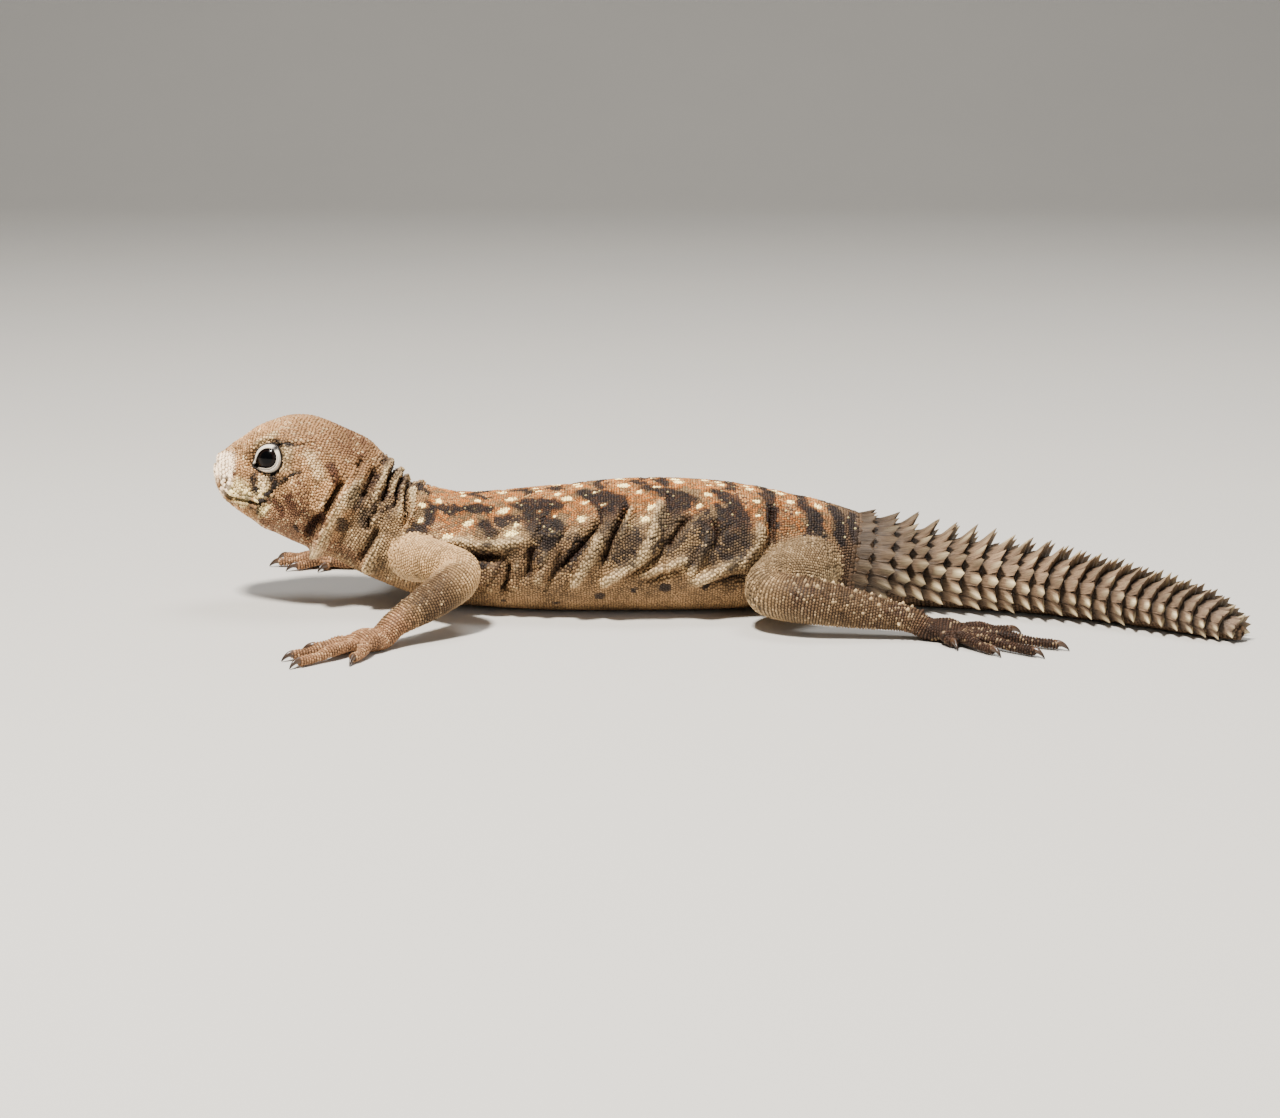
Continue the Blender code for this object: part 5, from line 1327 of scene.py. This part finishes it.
def spineRing(i, starts):  # the places, sizes and colours of one ring of spines
    share = i / tail["rings"]
    around = int(round(tail["around"][0] + (tail["around"][1] - tail["around"][0]) * share))
    angles = np.linspace(-math.pi, math.pi, 121)
    girth = passed(trunk.points(np.full(121, starts[i]), angles)[0])
    angle = np.interp((np.arange(around) + 0.5 * (around % 2)) * girth[-1] / around, girth, angles)
    angle = angle[abs(angle) < math.radians(tail["spinySpread"] + 8)]
    count = len(angle)
    base, out = trunk.points(np.full(count, starts[i]), angle)
    end = trunk.points(np.full(count, starts[i + 1]), angle)[0]
    degrees = np.degrees(abs(angle))
    tall = tail["spineTop"] + (tail["spineSide"] - tail["spineTop"]) * abs(np.sin(angle))
    tall = tall * (1 - tail["shrink"] * share) * (0.36 + 0.64 * easeIn(i, -1, 2.6))
    tall = tall * chance.uniform(0.8, 1.12, count)
    tall = tall * (1 - 0.35 * easeIn(degrees, tail["spinySpread"] - 12, tail["spinySpread"] + 8))
    length = np.linalg.norm(end - base, axis=1) * chance.uniform(0.97, 1.06, count)
    width = np.full(count, girth[-1] / around * 0.5 * 1.03)
    pale = easeIn(degrees, *tail["paleFrom"]) * chance.uniform(0.5, 1, count)
    cream = np.maximum(pale, 0.12 + 0.3 * (chance.uniform(0, 1, count) > 0.75)) * easeIn(i, -1.0, 5.0)
    sunk, fade = tail["sunk"]
    u, v = 0.02 + 0.96 * share, 0.02 + 0.96 * (angle / math.pi * 0.5 + 0.5)
    return {"spot": base - out * sunk * easeOut(i, -0.5, fade), "out": out, "along": unit(end - base),
            "size": np.stack([length, width, tall], 1), "cream": cream,
            "tone": chance.uniform(0.2, 0.8, count) * (1 - 0.35 * share), "tipward": np.full(count, share),
            "narrow": np.full(count, easeOut(i, -0.5, 1.3)), "uv": np.stack([np.full(count, u), v], 1)}


def makeSpines():
    starts = tailStarts()
    template, faces, values = spineTemplate()
    rings = [spineRing(i, starts) for i in range(tail["rings"])]
    data = {key: np.concatenate([ring[key] for ring in rings]) for key in rings[0]}
    lx, ly, lz = template.T
    size = data["size"]
    # the first plates begin narrow between the scales of the skin
    slim = 1 - data["narrow"][:, None] * 0.8 * easeOut(lx, 0.0, 0.75)
    local = lx * size[:, 0:1], ly * slim * size[:, 1:2], lz * size[:, 2:3]
    side = np.cross(data["out"], data["along"])
    made = setCopies("tailSpines", local, faces, data["spot"], data["along"], side, data["out"])
    each, count = len(template), len(size)
    setValues(made, {**{key: np.repeat(data[key], each) for key in ("cream", "tone", "tipward")},
                     **{key: np.tile(value, count) for key, value in values.items()}})
    patch = np.stack([values["along"] * 2 - 1, values["grain"]], 1)
    bakeMap(made, data["uv"], np.tile(patch, (count, 1)), each)
    print("tail spines set:", count)
    return made


spinePiece = makeSpines()


# Eyes, lids and claws

def eyePiece(name, sign):
    centre, across, up, out = eyeFrame(sign)
    rows, around = 40, 64
    polar = np.linspace(0.02, math.pi - 0.02, rows)
    p, q = np.meshgrid(polar, np.arange(around) * 2 * math.pi / around, indexing="ij")
    r = eye["radius"] - 0.02 + eye["cornea"] * hill(p, 0.42)
    local = np.stack([np.sin(p) * np.cos(q), np.sin(p) * np.sin(q), np.cos(p)], -1) * r[..., None]
    points = (centre + local @ np.stack([across, up, out])).reshape(-1, 3)
    faces = triangles(gridFaces(rows, around))
    turned = np.dot(np.cross(across, up), out) > 0
    made = newMesh(name, points, faces[:, ::-1] if turned else faces)
    setValues(made, {"away": (np.sin(p) * r).ravel(), "front": (np.cos(p) > 0).ravel() * 1.0})
    return made


def lidPiece(sign):
    centre, across, up, out = eyeFrame(sign)
    around, rows = 120, 17
    inner, outer = (roundPath(lids[name], around) * grow for name, grow in lids["grow"].items())
    share = np.linspace(0, 1, rows)[:, None]
    edge = inner + (outer - inner) * share[..., None]
    a, b = edge[..., 0], edge[..., 1]
    upper = easeIn(b, -0.5, 0.1)
    # The upper lid is one broad roll. The lower one is two, with a line between them.
    step = 0.5 * easeIn(share, 0.72, 0.84)
    one = np.sin(math.pi * np.clip(share / 0.74, 0.03, 0.97)) ** 0.6 + step
    two = np.maximum(0.75 * np.sin(math.pi * clamp(share / 0.3)) ** 0.6,
                     np.sin(math.pi * clamp((share - 0.28) / 0.44)) ** 0.6) + step
    roll = upper * one + (1 - upper) * two
    heights = lidHeight(a, b) + lids["thick"] * roll - 0.6 * easeIn(share, 0.93, 1.0)
    heights = heights - 0.3 * easeOut(share, 0, 0.06)
    points = centre + a[..., None] * across + b[..., None] * up + heights[..., None] * out
    faces = triangles(gridFaces(rows, around))
    front = easeIn(a, 1.7, 2.3) * easeOut(b, -0.36, -0.12)
    rear = hill(np.degrees(np.arctan2(b, a)) - 144, 12, 4)
    turned = np.dot(np.cross(across, up), out) <= 0
    values = {"across": np.repeat(share.ravel(), around), "upper": upper.ravel(),
              "corner": np.maximum(front, rear).ravel()}
    return points.reshape(-1, 3), faces[:, ::-1] if turned else faces, values


def makeLids():
    parts = [lidPiece(sign) for sign in (1, -1)]
    made = newMesh("eyelids", *joined([part[:2] for part in parts]))
    setValues(made, {key: np.concatenate([part[2][key] for part in parts]) for key in parts[0][2]})
    return made


claw = {
    "inToe": 0.25, "sections": 12, "sides": 10,
    # share of the length, height over the floor, half width, half height
    "shape": ((0.0, 0.85, 0.50, 0.50), (0.2, 1.0, 0.44, 0.5), (0.5, 0.92, 0.3, 0.38), (0.8, 0.55, 0.18, 0.22),
              (1.0, 0.12, 0.06, 0.07)),
}


def makeClaws():
    parts, along = [], []
    for name, leg in legs.items():
        for i, tip in enumerate(np.array(leg["claws"])):
            run = unit(tip - digitLofts[f"{name}{i}"].rows[-1][:2])
            base = tip - run * (paw["clawLength"] + claw["inToe"])
            reach = np.linalg.norm(tip - base)
            rows = [(*(base + run * reach * share), z, w, h, h) for share, z, w, h in claw["shape"]]
            points, faces = closedLoft(Loft(rows), claw["sides"], claw["sections"])
            points[:, 2] = np.maximum(points[:, 2], 0.0)
            parts.append((points, faces))
            along.append(clamp(((points[:, :2] - base) @ run) / reach))
    made = newMesh("claws", *joined(parts))
    setValues(made, {"along": np.concatenate(along)})
    return made


eyes = {"eye_right": eyePiece("eyeRight", 1), "eye_left": eyePiece("eyeLeft", -1)}
lidsPiece = makeLids()
clawPiece = makeClaws()
print("eyes, lids and claws made")


# Masks on the skin itself, so that it shows the same markings between the scales

part, s, g = skinMap.find(skinPoints)
skinShake = 0.6 * cloudNoise(skinPoints, 0.5, 11)
# the bare skin between the scales gets a low dome, so that the material darkens it as painted shade in the
# gaps
setValues(skinPiece, {**hideMasks(skinPoints, part, s, g, skinShake), "dome": np.full(len(s), 0.15)})
setPoints(skinPiece, skinPoints * mm)
skinPiece.data.shade_smooth()


# Shader maths: a socket that takes part in Python expressions

def setSockets(node, sockets):  # links what is a wire and sets what is a value
    for key, value in sockets.items():
        if isinstance(value, Wire):
            node.id_data.links.new(value.socket, node.inputs[key])
        else:
            node.inputs[key].default_value = value


class Wire:
    def __init__(self, tree, socket):
        self.tree, self.socket = tree, socket

    def node(self, kind, settings, sockets, output=0):
        made = self.tree.nodes.new(kind)
        for key, value in settings.items():
            setattr(made, key, value)
        setSockets(made, sockets)
        return Wire(self.tree, made.outputs[output])

    def maths(self, operation, a, b=0.0, limit=False):
        return self.node("ShaderNodeMath", {"operation": operation, "use_clamp": limit}, {0: a, 1: b})

    def __add__(self, other):
        return self.maths("ADD", self, other)

    def __radd__(self, other):
        return self.maths("ADD", other, self)

    def __sub__(self, other):
        return self.maths("SUBTRACT", self, other)

    def __rsub__(self, other):
        return self.maths("SUBTRACT", other, self)

    def __mul__(self, other):
        return self.maths("MULTIPLY", self, other)

    def __rmul__(self, other):
        return self.maths("MULTIPLY", other, self)

    def __abs__(self):
        return self.maths("ABSOLUTE", self)

    def clamped(self):
        return self.maths("ADD", self, 0.0, True)

    def ramp(self, low, high, start=0.0, end=1.0):  # start up to low, end from high on, straight between
        return self.node("ShaderNodeMapRange", {}, {"Value": self, "From Min": low, "From Max": high,
                                                    "To Min": start, "To Max": end})

    def blend(self, low, high):  # mixes two colours by this value
        return self.node("ShaderNodeMix", {"data_type": "RGBA"}, {0: self, 6: low, 7: high}, 2)

    def times(self, colour):  # darkens a colour by this value
        grey = self.node("ShaderNodeCombineColor", {}, {0: self, 1: self, 2: self})
        how = {"data_type": "RGBA", "blend_type": "MULTIPLY"}
        return self.node("ShaderNodeMix", how, {0: 1.0, 6: colour, 7: grey}, 2)


class Paint(Wire):  # a new material
    def __init__(self, name):
        self.made = bpy.data.materials.new(name)
        self.made.use_nodes = True
        super().__init__(self.made.node_tree, None)
        self.place = self.node("ShaderNodeTexCoord", {}, {}, "Object")

    def values(self, *names):  # the numbers of the mesh with these names
        return [self.node("ShaderNodeAttribute", {"attribute_name": name}, {}, "Fac") for name in names]

    def noise(self, scale, detail=3.0):
        return self.node("ShaderNodeTexNoise", {}, {"Vector": self.place, "Scale": scale, "Detail": detail,
                                                    "Roughness": 0.6})

    def bump(self, height, strength, distance):
        return self.node("ShaderNodeBump", {}, {"Strength": strength, "Distance": distance, "Height": height})

    def finish(self, colour, roughness, sockets):
        setSockets(self.tree.nodes["Principled BSDF"], {"Base Color": colour, "Roughness": roughness,
                                                        "Metallic": 0.0, **sockets})
        return self.made


def linear(r, g, b):  # a screen colour from 0 to 255 as the shader's own values
    c = np.array([r, g, b]) / 255
    return (*np.where(c <= 0.04045, c / 12.92, ((c + 0.055) / 1.055) ** 2.4).tolist(), 1.0)


hidePaint = {  # colours as on the screen, 0 to 255
    "ground": (146, 118, 84),
    "rustDark": (112, 66, 34),
    # the masks' colours in the order in which they lie over the ground, and how far one covers if not in full
    "layers": {
        "head": (184, 140, 96), "throat": (146, 108, 78), "leg": (208, 168, 118), "thigh": (130, 106, 76),
        # the belly's tan is darkened a little as painted shade under the body
        "hand": (176, 130, 92), "tail": (90, 70, 52), "belly": (148, 116, 80), "rust": (186, 113, 50),
        # the crests' cream is a painted highlight on the crests of the folds
        "sandy": (196, 164, 116), "crest": (218, 188, 142, 0.72), "legDark": (52, 34, 24),
        # pale also paints highlights on the ridges of the neck and along the edge of the throat fold
        "legPale": (214, 184, 140, 0.7), "yellow": (250, 228, 164), "pale": (232, 204, 156),
        # brown also paints shade under the side fold, on the rump, at the rear of the crown and in the recess
        # behind the jaw
        "white": (255, 228, 194), "brown": (86, 56, 38), "dark": (40, 33, 31), "cream": (255, 232, 162),
        # the last colour is painted shade in the grooves of the folds
        "crease": (40, 22, 13, 0.8),
    },
    "bump": (0.25, 0.00006),   # strength, and depth in metres
    "shine": 0.18,
}


def hideMaterial(name):
    paint = Paint(name)
    tone, dome = paint.values("tone", "dome")
    cloud, grain = paint.noise(420.0), paint.noise(2600.0, 2.0)
    burn = paint.noise(900.0).ramp(0.38, 0.6)
    colour = linear(*hidePaint["ground"])
    for key, (r, g, b, *cover) in hidePaint["layers"].items():
        mask, layer = paint.values(key)[0], linear(r, g, b)
        if cover:
            mask = mask * cover[0]
        if key == "rust":
            layer = (burn * 0.6 + tone * 0.5).clamped().blend(linear(*hidePaint["rustDark"]), layer)
        colour = mask.blend(colour, layer)
    shaded = tone * 1.08 + cloud * 0.5 + grain * 0.25 + 0.14
    # painted shade: the low rims of the scales and the bare skin between them are darkened
    groove = (dome * 1.12 + 0.12).clamped()
    bump = paint.bump(grain, *hidePaint["bump"])
    return paint.finish((shaded * groove).times(colour), 0.56 - dome * 0.12 + cloud * 0.1,
                        {"Normal": bump, "Specular IOR Level": hidePaint["shine"]})


spinePaint = {
    "tan": (164, 134, 104), "brown": (70, 53, 40), "tip": (124, 107, 95), "cream": (255, 234, 186),
    "bump": (0.6, 0.00014),
    "shine": 0.3,
}


def spineMaterial():
    paint = Paint("tailSpine")
    tone, cream, tipward = paint.values("tone", "cream", "tipward")
    along, grain, wall = paint.values("along", "grain", "wall")
    stripes = paint.node("ShaderNodeCombineXYZ", {}, {0: grain * 6.0, 1: along * 0.8 + tone * 40.0, 2: 0.0})
    lines = paint.node("ShaderNodeTexNoise", {"noise_dimensions": "2D"},
                       {"Vector": stripes, "Scale": 2.4, "Detail": 3.0})
    cloud = paint.noise(500.0)
    tan, brown, tip, pale = (linear(*spinePaint[key]) for key in ("tan", "brown", "tip", "cream"))
    colour = (lines.ramp(0.40, 0.60) * 0.7 + cloud * 0.3 + tone * 0.3 - 0.1).clamped().blend(brown, tan)
    colour = (tipward * 0.45).blend(colour, tip)
    # the first rings are dark. Painted shade darkens the roots of the plates, in the recess under the ring
    # before, where the skin is also a darker colour, and the walls under the plates; the spines' ends are
    # pale on the sides
    root = (along.ramp(0.08, 0.5, 0.2) + tipward.ramp(0.0, 0.04, 0.35, 0.0)).clamped()
    base = tipward.ramp(0.0, 0.3, 0.38)
    colour = (base * (tone * 0.6 + 0.7)).times(colour)
    spine = cream * along.ramp(0.5, 0.82) * abs(grain).ramp(0.2, 0.75, 1.0, 0.0)
    colour = spine.clamped().blend(colour, pale)
    colour = (root * (base * 0.5 + 0.5) * (1 - wall * 0.85)).times(colour)
    return paint.finish(colour, 0.45 + cloud * 0.15, {"Normal": paint.bump(lines, *spinePaint["bump"]),
                                                      "Specular IOR Level": spinePaint["shine"]})


smallPaint = {
    "lidEdgeShade": (24, 17, 14), "lidWhite": (238, 226, 208), "lidShade": (96, 84, 78),
    "irisDark": (9, 5, 5), "irisLight": (24, 13, 9), "pupil": (3, 3, 4), "eyeRim": (14, 9, 8),
    "clawRoot": (98, 72, 52), "clawTip": (26, 18, 14),
}
smallPaint = {key: linear(*colour) for key, colour in smallPaint.items()}


def lidMaterial():
    paint = Paint("eyelid")
    across, upper, corner = paint.values("across", "upper", "corner")
    # painted shade: the lids' inner and outer edges, in the grooves against the eye and the skin, and the
    # gaps at the corners are near black; the band between them is white
    ring = across.ramp(0.06, 0.16) * across.ramp(0.68, 0.76, 1.0, 0.0)
    line = abs(across - 0.29).ramp(0.03, 0.07)
    lower = (1.0 - upper) * (1.0 - line)
    colour = (ring * (1 - corner)).clamped().blend(smallPaint["lidEdgeShade"], smallPaint["lidWhite"])
    colour = (lower * 0.75).clamped().blend(colour, smallPaint["lidShade"])
    return paint.finish((paint.noise(900.0) * 0.4 + 0.78).times(colour), 0.45, {"Specular IOR Level": 0.5})


def eyeMaterial():
    paint = Paint("eyeGloss")
    away, front = paint.values("away", "front")
    iris = (paint.noise(2200.0) * 0.8 + 0.1).clamped().blend(smallPaint["irisDark"], smallPaint["irisLight"])
    colour = (away.ramp(0.86, 0.98) * front).blend(smallPaint["pupil"], iris)
    colour = away.ramp(1.1, 1.4).blend(colour, smallPaint["eyeRim"])
    return paint.finish(colour, 0.16, {"Coat Weight": 0.1, "Coat Roughness": 0.03,
                                       "Specular IOR Level": 0.08})


def clawMaterial():
    paint = Paint("clawHorn")
    horn = (paint.values("along")[0] * 0.8 + paint.noise(1500.0) * 0.3).clamped()
    colour = horn.blend(smallPaint["clawRoot"], smallPaint["clawTip"])
    return paint.finish(colour, 0.3, {"Specular IOR Level": 0.5})


skinPiece.data.materials.clear()
for material, pieces in ((hideMaterial("hide"), [skinPiece]), (hideMaterial("scale"), coatPieces),
                         (spineMaterial(), [spinePiece]), (lidMaterial(), [lidsPiece]),
                         (eyeMaterial(), eyes.values()), (clawMaterial(), [clawPiece])):
    for piece in pieces:
        piece.data.materials.append(material)


# The imported parts that the pieces replace are hidden, and every piece rides on the body's root

fleshNodes = [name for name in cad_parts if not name.startswith("eye_")]
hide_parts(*fleshNodes)
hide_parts("tail_front", "tail_middle", "tail_end")
for node, piece in eyes.items():
    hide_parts(node)
allPieces = [skinPiece, *coatPieces, spinePiece, lidsPiece, clawPiece, *eyes.values()]
for piece in allPieces:
    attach(piece, "root")
print("pieces ride on the body")


# Floor, light and camera

studio = {
    "floorColour": linear(205, 202, 196),
    "wall": (0.62, 0.64, 0.66),
    "wallStrength": 0.27,
    # place, aim, size and power of the soft lamps
    "lamps": {"key": ((-0.12, -0.26, 0.54), (-0.01, 0, 0.01), 0.085, 9.6),
              "top": ((0.12, 0.14, 0.60), (0.0, 0, 0.0), 0.30, 2.2),
              "fill": ((0.35, -0.55, 0.25), (0.0, 0, 0.01), 0.5, 1.0)},
    "lampColours": {"key": (1.0, 0.95, 0.88)},
    "elevation": 12.0,
    "distance": 0.40,
    "target": (-0.0070, 0.0, 0.0066),
    "photoWidth": 1280, "pixelsPerMetre": 6850,
}


def makeFloor():  # a floor that bends up into a wall behind the animal
    across, front, back, bend, top, steps = 3.0, -2.4, 0.7, 0.5, 1.6, 24
    profile = [(front, 0.0), (back, 0.0)]
    for i in range(1, steps + 1):
        angle = math.pi / 2 * i / steps
        profile.append((back + bend * math.sin(angle), bend * (1 - math.cos(angle))))
    profile.append((back + bend, top))
    points = np.array([(x, y, z) for y, z in profile for x in (-across, across)])
    faces = np.array([(2 * i, 2 * i + 1, 2 * i + 3, 2 * i + 2) for i in range(len(profile) - 1)])
    made = newMesh("floor", points, faces, 1)
    paint = Paint("paleFloor")
    colour = (paint.noise(9.0) * 0.06 + 0.97).times(studio["floorColour"])
    made.data.materials.append(paint.finish(colour, 0.85, {}))


def aimed(name, data, place, aim):  # a lamp or camera at a place, turned to another
    made = bpy.data.objects.new(name, data)
    made.location = place
    made.rotation_euler = (Vector(aim) - Vector(place)).to_track_quat("-Z", "Y").to_euler()
    bpy.context.scene.collection.objects.link(made)
    return made


def makeLamp(name, place, aim, size, power):
    data = bpy.data.lights.new(name, "AREA")
    data.shape = "DISK"
    data.size = size
    data.energy = power
    data.color = studio["lampColours"].get(name, (1, 1, 1))
    aimed(name, data, place, aim)


def makeCamera():
    data = bpy.data.cameras.new("camera")
    data.sensor_fit = "HORIZONTAL"
    half = studio["photoWidth"] / studio["pixelsPerMetre"] / 2
    data.angle = 2 * math.atan(half / studio["distance"])
    data.clip_start = 0.01
    tilt = math.radians(studio["elevation"])
    place = Vector(studio["target"]) + Vector((0, -math.cos(tilt), math.sin(tilt))) * studio["distance"]
    bpy.context.scene.camera = aimed("camera", data, place, studio["target"])


makeFloor()
for name, (place, aim, size, power) in studio["lamps"].items():
    makeLamp(name, place, aim, size, power)
world = bpy.data.worlds.new("studio")
world.use_nodes = True
world.node_tree.nodes["Background"].inputs[0].default_value = (*studio["wall"], 1)
world.node_tree.nodes["Background"].inputs[1].default_value = studio["wallStrength"]
bpy.context.scene.world = world
makeCamera()
print("studio ready")
print("triangles in all:", sum(len(piece.data.loops) - 2 * len(piece.data.polygons) for piece in allPieces))
